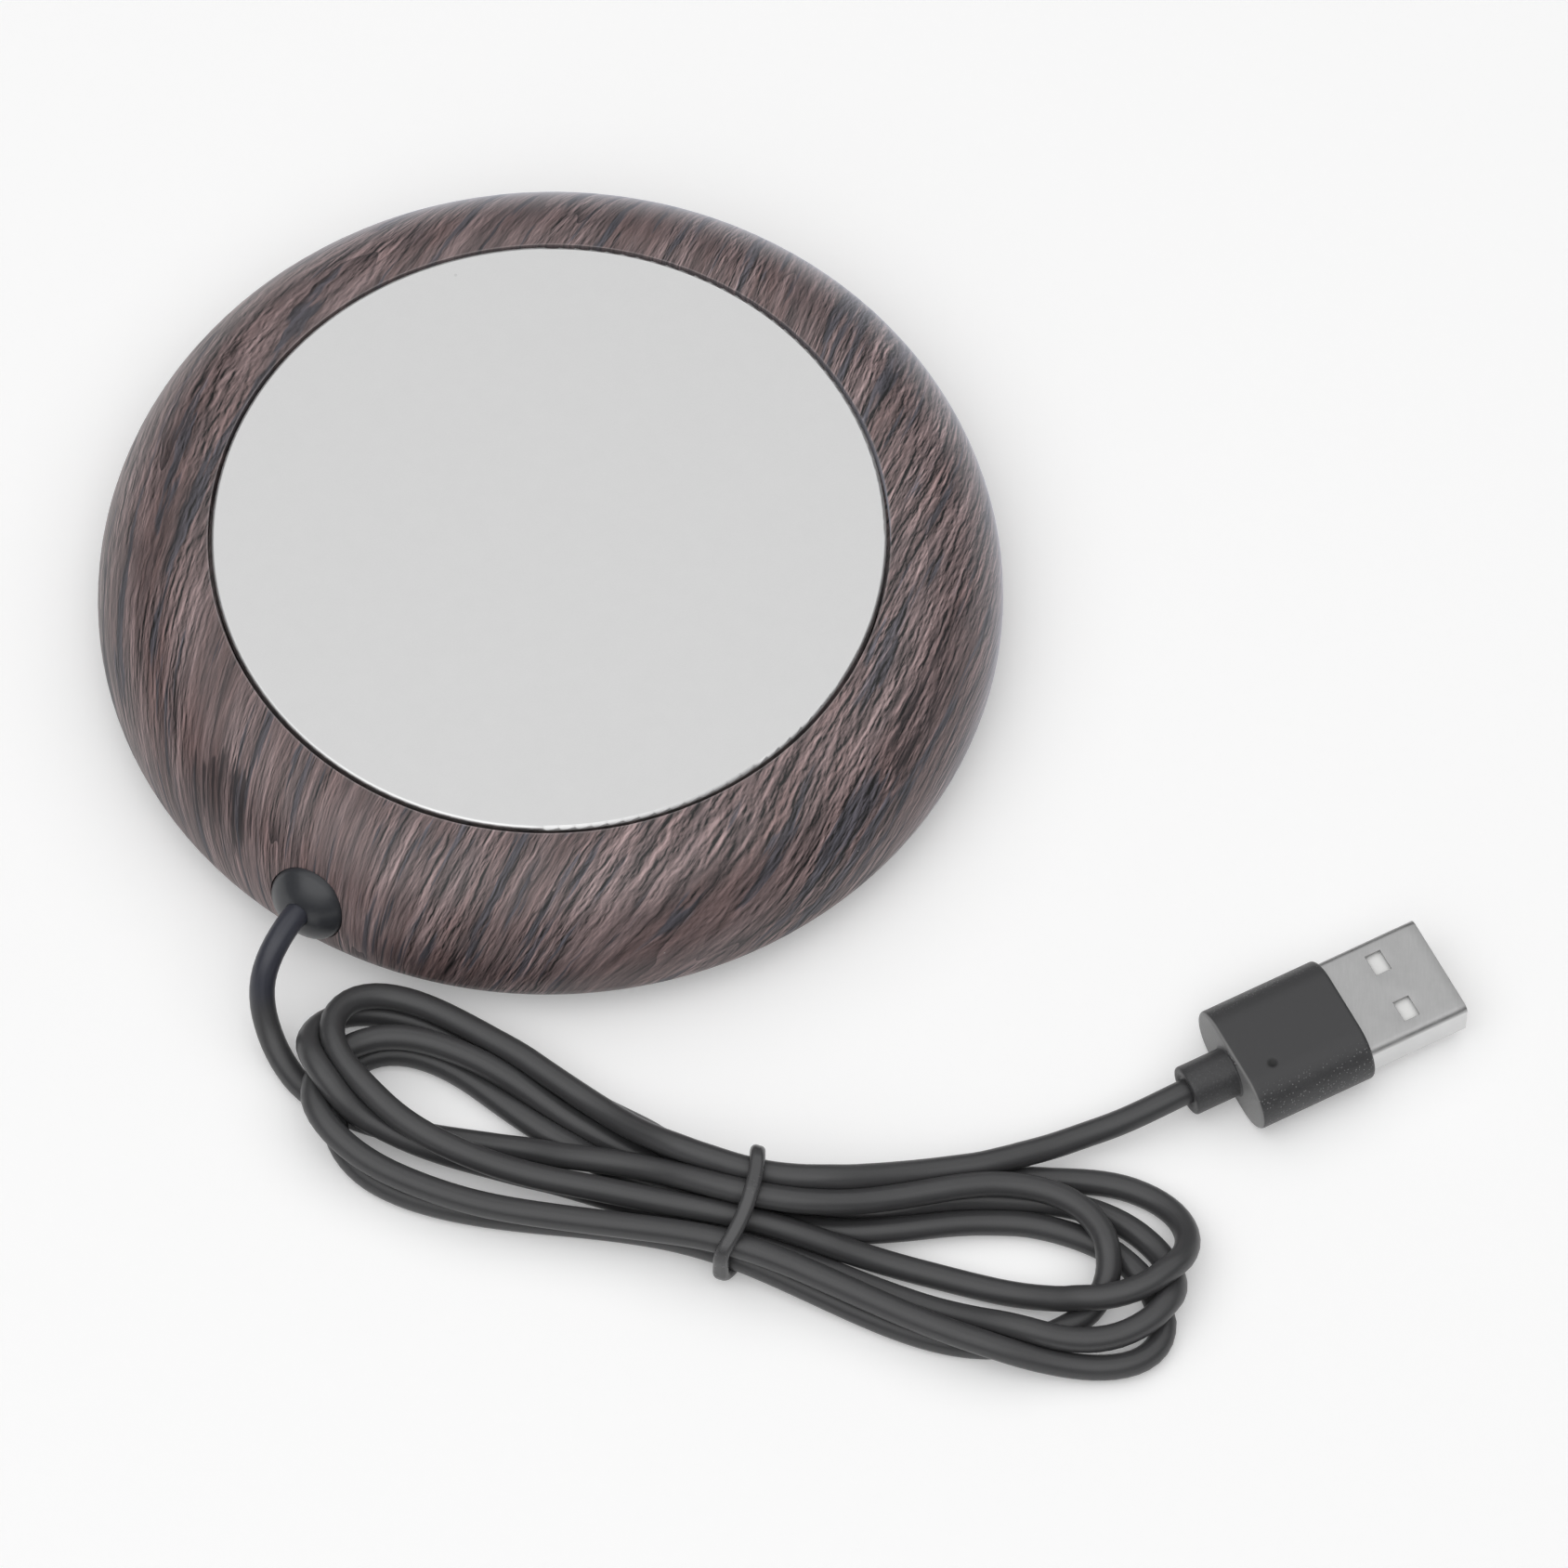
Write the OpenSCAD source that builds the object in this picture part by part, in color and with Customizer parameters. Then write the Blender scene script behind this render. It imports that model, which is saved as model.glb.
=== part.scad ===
// Electric mug warmer: a round moulded housing with a metal heating plate let into its top,
// rubber feet underneath, and a fixed USB cord that lies folded in a tied hank.
// Millimetres. Origin at the centre of the surface it stands on, +Z up, cord side towards -Y.

/* [Housing] */
// Overall diameter at the widest ring
body_diameter = 100; // [84:1:120]
// Height of the moulded body, from its underside to the rim round the plate
body_height = 17.2; // [15:0.1:21]
// Radius of the rounded crown
crown_radius = 12.6; // [10:0.1:15]
// Radius of the turn under the widest ring
hem_radius = 3; // [2.8:0.1:3.6]
// Drop from the widest ring to the seam between shell and base
hem_drop = 2.6; // [2:0.1:2.7]
// Wall thickness of the shell
wall = 2.2; // [1.6:0.1:2.6]
// Thickness of the base floor
floor_wall = 1.7; // [1.4:0.1:2]
// Radius of the sweep at the edge of the base
base_sweep = 15.8; // [13:0.1:19]
// Height of the locating ring inside the shell
spigot_height = 3.2; // [2:0.1:4]
// Thickness of the locating ring
spigot_wall = 1.2; // [1:0.1:1.6]
// Thickness of ribs
rib_wall = 1.2; // [1:0.1:1.6]

/* [Heating plate] */
// Diameter of the metal plate
plate_diameter = 74; // [62:1:80]
// Thickness of the plate's flat
plate_sheet = 1; // [0.8:0.1:1.4]
// Depth of the turned-down edge of the plate
plate_depth = 1.7; // [1.5:0.1:2.2]
// Thickness of the turned-down edge
plate_edge = 0.8; // [0.6:0.1:1.2]
// How far the plate stands above the rim
plate_proud = 0.3; // [0.2:0.1:0.6]
// Thickness of the gasket under the plate's edge
gasket_thickness = 0.8; // [0.6:0.1:1.2]
// Width of the ledge that carries the plate
ledge_width = 4.3; // [3.6:0.1:5]
// Thickness of the ledge
ledge_thickness = 2; // [1.6:0.1:2.4]
// How far inside the plate's diameter the circle of its three studs lies
stud_inset = 15; // [14:0.5:18]
// Diameter of a stud
stud_diameter = 4.8; // [4:0.1:5.4]

/* [Heater] */
// Gap between the heating film's edge and the studs
film_gap = 0.6; // [0.4:0.1:2]
// Thickness of the film
film_thickness = 0.3; // [0.2:0.05:0.4]
// Thickness of the resistance track
track_thickness = 0.2; // [0.15:0.05:0.3]
// Width of one pass of the track
track_width = 1.2; // [1:0.1:1.6]
// Step from one pass to the next
track_pitch = 2.4; // [2:0.1:3]
// Thickness of the insulation pad
pad_thickness = 3; // [2.6:0.1:3.6]
// Thickness of the retainer plate
retainer_thickness = 0.8; // [0.6:0.1:1]
// Length of the thermal cut-out
cutout_length = 15; // [12:0.5:16]
// Width of the thermal cut-out
cutout_width = 6.5; // [5:0.5:7]
// Height of the thermal cut-out
cutout_height = 3.4; // [3:0.1:4]

/* [Fasteners and feet] */
// Circle of the four base screws
screw_circle = 77; // [74:0.5:78]
// Diameter of a base screw's thread
screw_diameter = 2.5; // [2:0.1:3]
// Diameter of a base screw's head
screw_head = 4.8; // [4:0.1:5]
// Height of a base screw's head
screw_head_height = 1.5; // [1.2:0.1:1.8]
// Length of a base screw under its head
screw_length = 9; // [7:0.5:10]
// Diameter of a small screw's thread
small_screw = 2; // [1.8:0.1:2.5]
// Diameter of a small screw's head
small_head = 4; // [3.4:0.1:4.4]
// Diameter of a rubber foot
foot_diameter = 10; // [8:0.5:11]
// Circle of the four feet
foot_circle = 62; // [56:1:64]
// How far the feet stand out of the base
foot_proud = 0.8; // [0.5:0.1:1.2]
// Depth of the foot's seat in the base
foot_seat = 0.8; // [0.6:0.1:1]

/* [Cord] */
// Diameter of the cord
cord_diameter = 2.8; // [2.4:0.1:3]
// Turn of the cord's entry round the housing
gland_azimuth = 238.5; // [230:0.5:250]
// Height of the cord's entry
gland_height = 9.6; // [9.2:0.1:12]
// Diameter of the grommet's dome
dome_diameter = 9; // [7.8:0.1:9.4]
// Height of the grommet's dome
dome_height = 2; // [1.8:0.1:3.4]
// Radius of the dome's rounded edge
dome_edge = 1.4; // [1:0.1:2.2]
// Diameter of the grommet's neck
neck_diameter = 6; // [5:0.1:6.4]
// Thickness of the tie round the hank
tie_thickness = 1.4; // [1:0.1:1.8]
// Width of the tie
tie_width = 1.8; // [1.4:0.1:2.2]
// Height of the flat-lying hank
hank_height = 6.8; // [5.6:0.1:8]

/* [USB plug] */
// Width of the metal shell
usb_width = 12; // [12:0.1:12.1]
// Height of the metal shell
usb_height = 4.5; // [4.5:0.1:4.6]
// Length of metal shell outside the handle
usb_reach = 11.8; // [10.8:0.1:12.2]
// Thickness of the shell's sheet
usb_sheet = 0.3; // [0.25:0.05:0.35]
// Length of metal shell inside the handle
usb_root = 5; // [4:0.1:6]
// Width of the handle
handle_width = 14.8; // [14:0.1:17]
// Thickness of the handle
handle_height = 8; // [7:0.1:9]
// Length of the handle
handle_length = 14; // [12:0.1:20]
// Diameter of the strain relief
relief_diameter = 5.6; // [4.6:0.1:6]
// Length of the strain relief
relief_length = 5.4; // [4:0.1:8]
// Thickness of the plastic tongue
tongue_height = 1.9; // [1.8:0.05:2]

/* [Fits] */
// Gap round the plate in its opening
plate_gap = 0.4; // [0.2:0.05:0.5]
// Radial gap of parts that locate one another
locating_gap = 0.2; // [0.1:0.05:0.3]
// Radial gap of a screw in its pilot hole
thread_gap = 0.05; // [0.03:0.01:0.1]
// Radial gap of the cord in a bore or groove
cord_gap = 0.05; // [0.03:0.01:0.1]
// Gap round small pieces in their pockets
pocket_gap = 0.05; // [0.03:0.01:0.1]

/* [Hidden] */
$fn = 72;

// housing levels and radii
body_r = body_diameter / 2;
opening_r = plate_diameter / 2 + plate_gap;
crown_r = min(crown_radius, body_r - opening_r, body_height - hem_drop - floor_wall);
under_z = foot_proud;
rim_z = under_z + body_height;
widest_z = rim_z - crown_r;
crown_x = body_r - crown_r;
hem_x = body_r - hem_radius;
seam_z = widest_z - hem_drop;
seam_r = hem_x + sqrt(hem_radius * hem_radius - hem_drop * hem_drop);
floor_z = under_z + floor_wall;
base_rise = base_sweep - (seam_z - under_z);
base_flat_r = seam_r - sqrt(base_sweep * base_sweep - base_rise * base_rise);
cavity_r = seam_r - wall;
spigot_r = cavity_r - locating_gap;

// plate stack, from the top down
plate_z = rim_z + plate_proud;
sheet_z = plate_z - plate_sheet;
plate_rim_z = plate_z - plate_depth;
ledge_z = plate_rim_z - gasket_thickness;
ledge_low_z = ledge_z - ledge_thickness;
ledge_r = opening_r - ledge_width;
ledge_root = 2.7;
stud_circle = plate_diameter - stud_inset;
film_diameter = stud_circle - stud_diameter - 2 * film_gap;
film_z = sheet_z - film_thickness;
track_z = film_z - track_thickness;
track_edge = 2;
passes = floor((film_diameter / 2 - track_edge - track_width) / track_pitch);
pad_z = track_z - pad_thickness;
retainer_low_z = ledge_low_z - retainer_thickness;
retainer_r = ledge_r + 1.8;
stud_pilot = 3.4;
window_low_y = -6.2;

// bosses and screws; sink is how far a boss or rib reaches into the wall that carries it
sink = 0.4;
floor_rib = 1.2;
floor_ring_r = 20;
boss_r = 2.8;
post_r = 3.6;
boss_z = 5;
boss_cover = 1.2;
pilot_depth = 9;
seat_z = 3;
small_head_height = 1.4;
clamp_spread = 6.5;
clamp_centre = 32;
clamp_depth = 6;
clamp_bar = 2;
clamp_boss_r = 2.6;
clamp_boss_z = 5.2;
jacket_z = 4.6;
jacket_end = 25;
wire_r = 0.6;
sleeve_r = 1.15;
sleeve_from = 7;
sleeve_length = 8;
wire_y = 2.6;
wire_z = 4.8;
foot_edge = 0.5;

// cord entry, its axis normal to the crown
cord_r = cord_diameter / 2;
gland_rise = asin((gland_height - widest_z) / crown_r);
gland_r = crown_x + crown_r * cos(gland_rise);
spot_depth = 0.7;
web = 1.3;
collar = 1.5;
collar_r = neck_diameter / 2 + 0.9;
cord_run = 7;
exit_out = dome_height - 0.2;
exit_r = gland_r + exit_out * cos(gland_rise);
exit_z = gland_height + exit_out * sin(gland_rise);
exit_point = [exit_r * cos(gland_azimuth), exit_r * sin(gland_azimuth), exit_z];
exit_way = [cos(gland_rise) * cos(gland_azimuth), cos(gland_rise) * sin(gland_azimuth), sin(gland_rise)];

// free cord, with y measured from the front of the housing
front = [0, -body_r, 0];
lead_route = [[-28, 4, 11.2], [-29.5, 1.5, 10.5], [-30, -0.5, 8.5], [-30.5, -1.5, 6], [-30, -2.5, 4],
  [-29.5, -4.5, 3], [-28.5, -6.5, 2], [-27.5, -8, 1.5]];
lead_way = [0.45, -0.89, 0];
tail_route = [[38, -21.5, 4.5], [42, -21, 4.5], [46, -20, 4], [50, -19, 4], [54, -18, 3.5], [58, -16, 3],
  [62, -14, 3], [66, -12, 3.5]];
tail_way = [0.99, 0.12, 0];
hank_left = [[-18.5, -8.5, 8.5], [-25.5, -10.5, 4], [-19.5, -15, 8], [21, -25.5, 6]];
hank_right = [[21, -25.5, 6], [62, -29, 8.5], [62.5, -35.5, 8.5], [54, -37.5, 6.5]];
tie_at = [20.6, -29.6];
tie_turn = 72.7;
bundle = [[0, 3], [7.6, 3], [7.6, 5.8], [4.6, 7.6], [0.3, 5.8]];
bundle_length = 9;

// plug, lying on its flat side
plug_at = [69.7, -10.7];
plug_turn = 28;
plug_z = handle_height / 2;
pocket_wall = 1.2;
window_set = 5.9;
window_wide = 2.6;
window_long = 1.9;
window_apart = 6.3;
contact_wide = 1;
contact_thick = 0.2;
contact_apart = [-3.5, -1, 1, 3.5];
contact_reach = [8, 7, 7, 8];

// one point plus another
function unit(v) = v / norm(v);

// direction of a route at one of its points, given the directions wanted at its ends
function way(route, i, first, last) =
  i == 0 ? unit(first)
  : i == len(route) - 1 ? unit(last)
  : unit(route[i + 1] - route[i - 1]);

// eight points round a route at one of its points, with none of its directions along ref
function ring8(p, w, r, ref) =
  let (side = unit(cross(w, ref)), up = cross(side, w))
  [for (k = [0:7]) p + r * (cos(45 * k) * side + sin(45 * k) * up)];

// a round strand of radius r swept along a route as one closed solid
module strand(route, r, first, last, ref = [0, 0, 1]) {
  n = len(route);
  points = [for (i = [0:n - 1]) each ring8(route[i], way(route, i, first, last), r, ref)];
  sides = [for (i = [0:n - 2], k = [0:7])
    let (a = i * 8 + k, b = i * 8 + (k + 1) % 8)
    each [[a, b, b + 8], [a, b + 8, a + 8]]];
  near = [[for (k = [7:-1:0]) k]];
  far = [[for (k = [0:7]) (n - 1) * 8 + k]];
  polyhedron(points = points, faces = concat(near, sides, far), convexity = 6);
}

// children placed at the four corners of a bolt circle
module at_four(circle_d, turn = 0) {
  for (k = [0:3]) {
    rotate([0, 0, turn + 90 * k])
    translate([circle_d / 2, 0, 0])
    children();
  }
}

// children placed at the three studs of the plate
module at_studs() {
  for (k = [0:2]) {
    rotate([0, 0, gland_azimuth + 60 + 120 * k])
    translate([stud_circle / 2, 0, 0])
    children();
  }
}

// children in the frame whose +X points from the centre to the cord entry
module towards_entry() {
  rotate([0, 0, gland_azimuth])
  children();
}

// children in the frame of the grommet: origin on the crown, +Z outwards along the cord
module at_entry() {
  towards_entry()
  translate([gland_r, 0, gland_height])
  rotate([0, 90 - gland_rise, 0])
  children();
}

// children in the frame of the plug: origin at the strain relief's end, +X towards the contacts
module at_plug() {
  translate([plug_at[0], plug_at[1] - body_r, plug_z])
  rotate([0, 0, plug_turn])
  children();
}

// a pan-head screw with its seat at z = 0 and its thread going up
module screw(thread_r, length, head_r, head_h) {
  difference() {
    union() {
      cylinder(h = length, r = thread_r, $fn = 24);
      translate([0, 0, -head_h])
      cylinder(h = head_h, r1 = head_r - 0.4, r2 = head_r, $fn = 32);
    }
    translate([0, 0, -head_h - 0.1])
    linear_extrude(head_h * 0.6)
    union() {
      square([head_r * 1.1, 0.6], center = true);
      square([0.6, head_r * 1.1], center = true);
    }
  }
}

// half section of the shell's outside, from the seam up to the rim
module shell_outline() {
  translate([0, widest_z])
  square([crown_x, rim_z - widest_z]);
  intersection() {
    translate([crown_x, widest_z])
    circle(crown_r, $fn = 96);
    translate([crown_x, widest_z])
    square([crown_r, crown_r]);
  }
  translate([0, seam_z])
  square([hem_x, widest_z - seam_z]);
  intersection() {
    translate([hem_x, widest_z])
    circle(hem_radius, $fn = 96);
    translate([hem_x, seam_z])
    square([hem_radius, hem_drop]);
  }
}

// half section of the space inside the shell
module shell_hollow() {
  intersection() {
    translate([0, seam_z - 1])
    square([cavity_r, body_height]);
    union() {
      translate([0, seam_z - 2])
      square([body_r, hem_drop + 2]);
      translate([0, seam_z - 2])
      square([crown_x, hem_drop + 2 + crown_r - wall]);
      translate([crown_x, widest_z])
      circle(crown_r - wall, $fn = 96);
    }
  }
}

// moulded ring shell with the plate's ledge, screw bosses, ribs and the cord's entry
module top_shell() {
  color([0.42, 0.34, 0.32])
  difference() {
    union() {
      rotate_extrude()
      difference() {
        shell_outline();
        difference() {
          shell_hollow();
          translate([ledge_r, ledge_low_z])
          square([ledge_width + ledge_root, ledge_thickness]);
        }
        square([ledge_r, rim_z + 1]);
      }
      at_four(screw_circle, 45)
      translate([0, 0, boss_z])
      cylinder(h = rim_z - boss_cover - boss_z, r = boss_r, $fn = 32);
      shell_ribs();
    }
    translate([0, 0, ledge_z])
    cylinder(h = rim_z, r = opening_r);
    at_four(screw_circle, 45)
    translate([0, 0, boss_z - 1])
    cylinder(h = pilot_depth + 1, r = screw_diameter / 2 + thread_gap, $fn = 24);
    at_entry()
    entry_cut();
  }
}

// radial ribs between the shell's wall and its ledge
module shell_ribs() {
  intersection() {
    rotate_extrude()
    translate([crown_x + 1, widest_z])
    intersection() {
      translate([-1, 0])
      circle(crown_r - wall / 2, $fn = 96);
      square([cavity_r - crown_x, crown_r]);
    }
    for (k = [0:7]) {
      rotate([0, 0, 22.5 + 45 * k])
      translate([0, -rib_wall / 2, widest_z + 4])
      cube([body_r, rib_wall, crown_r]);
    }
  }
}

// hole, outer spot face and inner spot face for the grommet
module entry_cut() {
  translate([0, 0, -4])
  cylinder(h = 8, r = neck_diameter / 2 + pocket_gap, $fn = 32);
  translate([0, 0, -spot_depth])
  cylinder(h = 4, r = dome_diameter / 2 + pocket_gap, $fn = 48);
  translate([0, 0, -spot_depth - web - 3])
  cylinder(h = 3, r = collar_r + locating_gap, $fn = 32);
}

// room in the base for the grommet's collar and for the cord behind it
module entry_room() {
  translate([0, 0, -spot_depth - web - collar - locating_gap])
  cylinder(h = body_r, r = collar_r + locating_gap, $fn = 32);
  translate([0, 0, -cord_run])
  cylinder(h = cord_run, r = cord_r + locating_gap, $fn = 32);
}

// half section above the base's sweep: a flat that turns up round a centre over its edge
module sweep_section(radius, low_z, out_r, high_z) {
  translate([0, low_z])
  square([base_flat_r, high_z - low_z]);
  intersection() {
    translate([base_flat_r, low_z + radius])
    circle(radius, $fn = 180);
    translate([base_flat_r, low_z])
    square([out_r - base_flat_r, high_z - low_z]);
  }
}

// half section of the base, with its swept edge and locating ring
module base_section() {
  difference() {
    sweep_section(base_sweep, under_z, body_r, seam_z);
    sweep_section(base_sweep - floor_wall, floor_z, spigot_r - spigot_wall, seam_z + spigot_height);
  }
  translate([spigot_r - spigot_wall, seam_z - sink])
  square([spigot_wall, spigot_height + sink]);
}

// moulded base with screw posts, clamp bosses, cradle, ribs and seats for the feet
module base_cover() {
  color([0.11, 0.11, 0.12])
  difference() {
    union() {
      rotate_extrude()
      base_section();
      at_four(screw_circle, 45)
      translate([0, 0, under_z])
      cylinder(h = boss_z - under_z, r = post_r, $fn = 32);
      towards_entry()
      cord_bosses();
      base_ribs();
    }
    at_four(screw_circle, 45)
    union() {
      cylinder(h = boss_z + 1, r = screw_diameter / 2 + locating_gap, $fn = 24);
      cylinder(h = seat_z, r = screw_head / 2 + locating_gap, $fn = 32);
    }
    at_four(foot_circle)
    cylinder(h = under_z + foot_seat, r = foot_diameter / 2 + pocket_gap, $fn = 48);
    at_entry()
    entry_room();
  }
}

// bosses for the clamp screws and a cradle for the cord between them
module cord_bosses() {
  difference() {
    union() {
      for (s = [-1, 1]) {
        translate([clamp_centre, s * clamp_spread, floor_z - sink])
        cylinder(h = clamp_boss_z - floor_z + sink, r = clamp_boss_r, $fn = 32);
      }
      translate([clamp_centre - clamp_depth / 2, -clamp_spread, floor_z - sink])
      cube([clamp_depth, 2 * clamp_spread, jacket_z - floor_z + sink]);
    }
    for (s = [-1, 1]) {
      translate([clamp_centre, s * clamp_spread, floor_z])
      cylinder(h = clamp_boss_z, r = small_screw / 2 + thread_gap, $fn = 24);
    }
    translate([clamp_centre - clamp_depth, 0, jacket_z])
    rotate([0, 90, 0])
    cylinder(h = 2 * clamp_depth, r = cord_r + cord_gap, $fn = 32);
  }
}

// stiffening ring and radial ribs on the base floor, clear of the wires
module base_ribs() {
  difference() {
    union() {
      difference() {
        translate([0, 0, floor_z - sink])
        cylinder(h = floor_rib + sink, r = floor_ring_r);
        cylinder(h = boss_z, r = floor_ring_r - rib_wall);
      }
      for (k = [0:5]) {
        rotate([0, 0, gland_azimuth + 30 + 60 * k])
        translate([floor_ring_r - 6, -rib_wall / 2, floor_z - sink])
        cube([16, rib_wall, floor_rib + sink]);
      }
    }
    towards_entry()
    translate([0, -5, floor_z])
    cube([body_r, 10, boss_z]);
    at_four(foot_circle)
    cylinder(h = boss_z, r = foot_diameter / 2 + 1, $fn = 32);
  }
}

// metal plate with a turned-down edge and three studs underneath
module heating_plate() {
  color([0.84, 0.84, 0.84])
  difference() {
    union() {
      rotate_extrude()
      difference() {
        union() {
          translate([0, plate_rim_z])
          square([plate_diameter / 2, plate_depth - plate_edge / 2]);
          translate([0, plate_z - plate_edge / 2])
          square([plate_diameter / 2 - plate_edge / 2, plate_edge / 2]);
          intersection() {
            translate([(plate_diameter - plate_edge) / 2, plate_z - plate_edge / 2])
            circle(plate_edge / 2, $fn = 24);
            translate([(plate_diameter - plate_edge) / 2, plate_z - plate_edge / 2])
            square(plate_edge);
          }
        }
        translate([0, plate_rim_z - 1])
        square([plate_diameter / 2 - plate_edge, plate_depth - plate_sheet + 1]);
      }
      at_studs()
      translate([0, 0, ledge_low_z])
      cylinder(h = sheet_z - ledge_low_z + 0.2, r = stud_diameter / 2, $fn = 32);
    }
    at_studs()
    translate([0, 0, ledge_low_z - 1])
    cylinder(h = stud_pilot, r = small_screw / 2 + thread_gap, $fn = 24);
  }
}

// soft ring between the plate's edge and the ledge
module plate_gasket() {
  color([0.08, 0.08, 0.08])
  translate([0, 0, ledge_z])
  difference() {
    cylinder(h = gasket_thickness, r = plate_diameter / 2);
    translate([0, 0, -1])
    cylinder(h = gasket_thickness + 2, r = ledge_r + 0.6);
  }
}

// thin film that carries the resistance track against the plate
module heater_film() {
  color([0.72, 0.42, 0.12])
  translate([0, 0, film_z])
  cylinder(h = film_thickness, r = film_diameter / 2);
}

// half length of one pass of the track, so that it stays on the film
function pass_half(y) = sqrt(pow(film_diameter / 2 - track_edge, 2) - pow(abs(y) + track_width / 2, 2));

// resistance track, a flat serpentine of parallel passes
module heater_track() {
  color([0.62, 0.6, 0.58])
  translate([0, 0, track_z])
  rotate([0, 0, gland_azimuth])
  linear_extrude(track_thickness) {
    for (i = [-passes:passes]) {
      translate([-pass_half(i * track_pitch), i * track_pitch - track_width / 2])
      square([2 * pass_half(i * track_pitch), track_width]);
    }
    for (i = [-passes:passes - 1]) {
      ends = min(pass_half(i * track_pitch), pass_half((i + 1) * track_pitch));
      translate([i % 2 == 0 ? ends - track_width : -ends, i * track_pitch])
      square([track_width, track_pitch]);
    }
  }
}

// bimetal cut-out that opens the circuit if the plate gets too hot
module thermal_cutout() {
  color([0.86, 0.85, 0.8])
  towards_entry()
  translate([0, 0, track_z - cutout_height])
  difference() {
    translate([-cutout_length / 2, -cutout_width / 2, 0])
    cube([cutout_length, cutout_width, cutout_height]);
    for (s = [-1, 1]) {
      translate([s * cutout_length / 2, 0, cutout_height / 2])
      cube([2, cutout_width - 2, cutout_height + 1], center = true);
    }
  }
}

// opening through the pad and the retainer for the cut-out and one wire
module stack_window() {
  towards_entry()
  translate([-cutout_length / 2 - locating_gap, window_low_y, retainer_low_z - 1])
  cube([cutout_length + 2 * locating_gap, cutout_width / 2 + locating_gap - window_low_y, body_height]);
}

// heat-resistant pad that presses the film against the plate
module insulation_pad() {
  color([0.88, 0.86, 0.8])
  difference() {
    translate([0, 0, pad_z])
    cylinder(h = pad_thickness, r = film_diameter / 2);
    stack_window();
  }
}

// pressed steel disc that clamps plate, pad and ledge together
module retainer_plate() {
  color([0.7, 0.71, 0.73])
  difference() {
    translate([0, 0, retainer_low_z])
    cylinder(h = retainer_thickness, r = retainer_r);
    at_studs()
    cylinder(h = rim_z, r = small_screw / 2 + locating_gap, $fn = 24);
    stack_window();
  }
}

// three screws through the retainer into the plate's studs
module retainer_screws() {
  color([0.78, 0.78, 0.8])
  at_studs()
  translate([0, 0, retainer_low_z])
  screw(small_screw / 2, retainer_thickness + stud_pilot - 1.4, small_head / 2, small_head_height);
}

// sleeved wire from the cord to the thermal cut-out
module heater_lead_red() {
  color([0.65, 0.08, 0.07])
  towards_entry()
  strand([[jacket_end, 0.7, jacket_z], [22, 1.2, jacket_z], [19, 2.2, wire_z], [16, wire_y, wire_z],
    [11, wire_y, wire_z], [6, wire_y, wire_z], [3.5, wire_y, 5.8], [2.5, 2.4, 8], [2, 2.2, 10.5],
    [2, 2.2, track_z - cutout_height]], wire_r, [-1, 0, 0], [0, 0, 1], [0, 1, 0]);
}

// sleeved wire from the cord to the end of the track
module heater_lead_black() {
  color([0.06, 0.06, 0.07])
  towards_entry()
  strand([[jacket_end, -0.7, jacket_z], [22, -1.2, jacket_z], [19, -2.2, wire_z], [16, -wire_y, wire_z],
    [11, -wire_y, wire_z], [6, -wire_y, wire_z], [3.5, -3, 5.8], [2.5, -4, 8.5], [2, -4.8, 12],
    [2, -4.8, track_z]], wire_r, [-1, 0, 0], [0, 0, 1], [0, 1, 0]);
}

// shrink sleeves over the two splices
module splice_sleeves() {
  color([0.12, 0.12, 0.13])
  towards_entry()
  for (s = [-1, 1]) {
    translate([sleeve_from, s * wire_y, wire_z])
    rotate([0, 90, 0])
    difference() {
      cylinder(h = sleeve_length, r = sleeve_r, $fn = 24);
      translate([0, 0, -1])
      cylinder(h = sleeve_length + 2, r = wire_r + cord_gap, $fn = 24);
    }
  }
}

// four screws from below through the base into the shell
module base_screws() {
  color([0.55, 0.56, 0.58])
  at_four(screw_circle, 45)
  translate([0, 0, seat_z])
  screw(screw_diameter / 2, screw_length, screw_head / 2, screw_head_height);
}

// four rubber feet in their seats
module rubber_feet() {
  color([0.05, 0.05, 0.05])
  at_four(foot_circle)
  rotate_extrude($fn = 48)
  union() {
    square([foot_diameter / 2 - foot_edge, foot_proud + foot_seat]);
    translate([0, foot_edge])
    square([foot_diameter / 2, foot_proud + foot_seat - foot_edge]);
    translate([foot_diameter / 2 - foot_edge, foot_edge])
    circle(foot_edge, $fn = 24);
  }
}

// rubber grommet, a dome outside and a collar inside
module cord_grommet() {
  dome_r = dome_diameter / 2;
  side = dome_r - dome_edge;
  rise = dome_height + spot_depth;
  ball_r = (side * side + rise * rise - dome_edge * dome_edge) / (2 * (rise - dome_edge));
  split = side * ball_r / (ball_r - dome_edge);
  color([0.04, 0.04, 0.045])
  at_entry()
  rotate_extrude($fn = 48)
  difference() {
    union() {
      intersection() {
        translate([0, dome_height - ball_r])
        circle(ball_r, $fn = 96);
        translate([0, -spot_depth])
        square([split, rise]);
      }
      intersection() {
        translate([side, -spot_depth])
        circle(dome_edge, $fn = 96);
        translate([split, -spot_depth])
        square([dome_r - split, rise]);
      }
      translate([0, -spot_depth - web])
      square([neck_diameter / 2, web + spot_depth]);
      translate([0, -spot_depth - web - collar])
      square([collar_r, collar]);
    }
    translate([0, -10])
    square([cord_r + cord_gap, 20]);
  }
}

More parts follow.
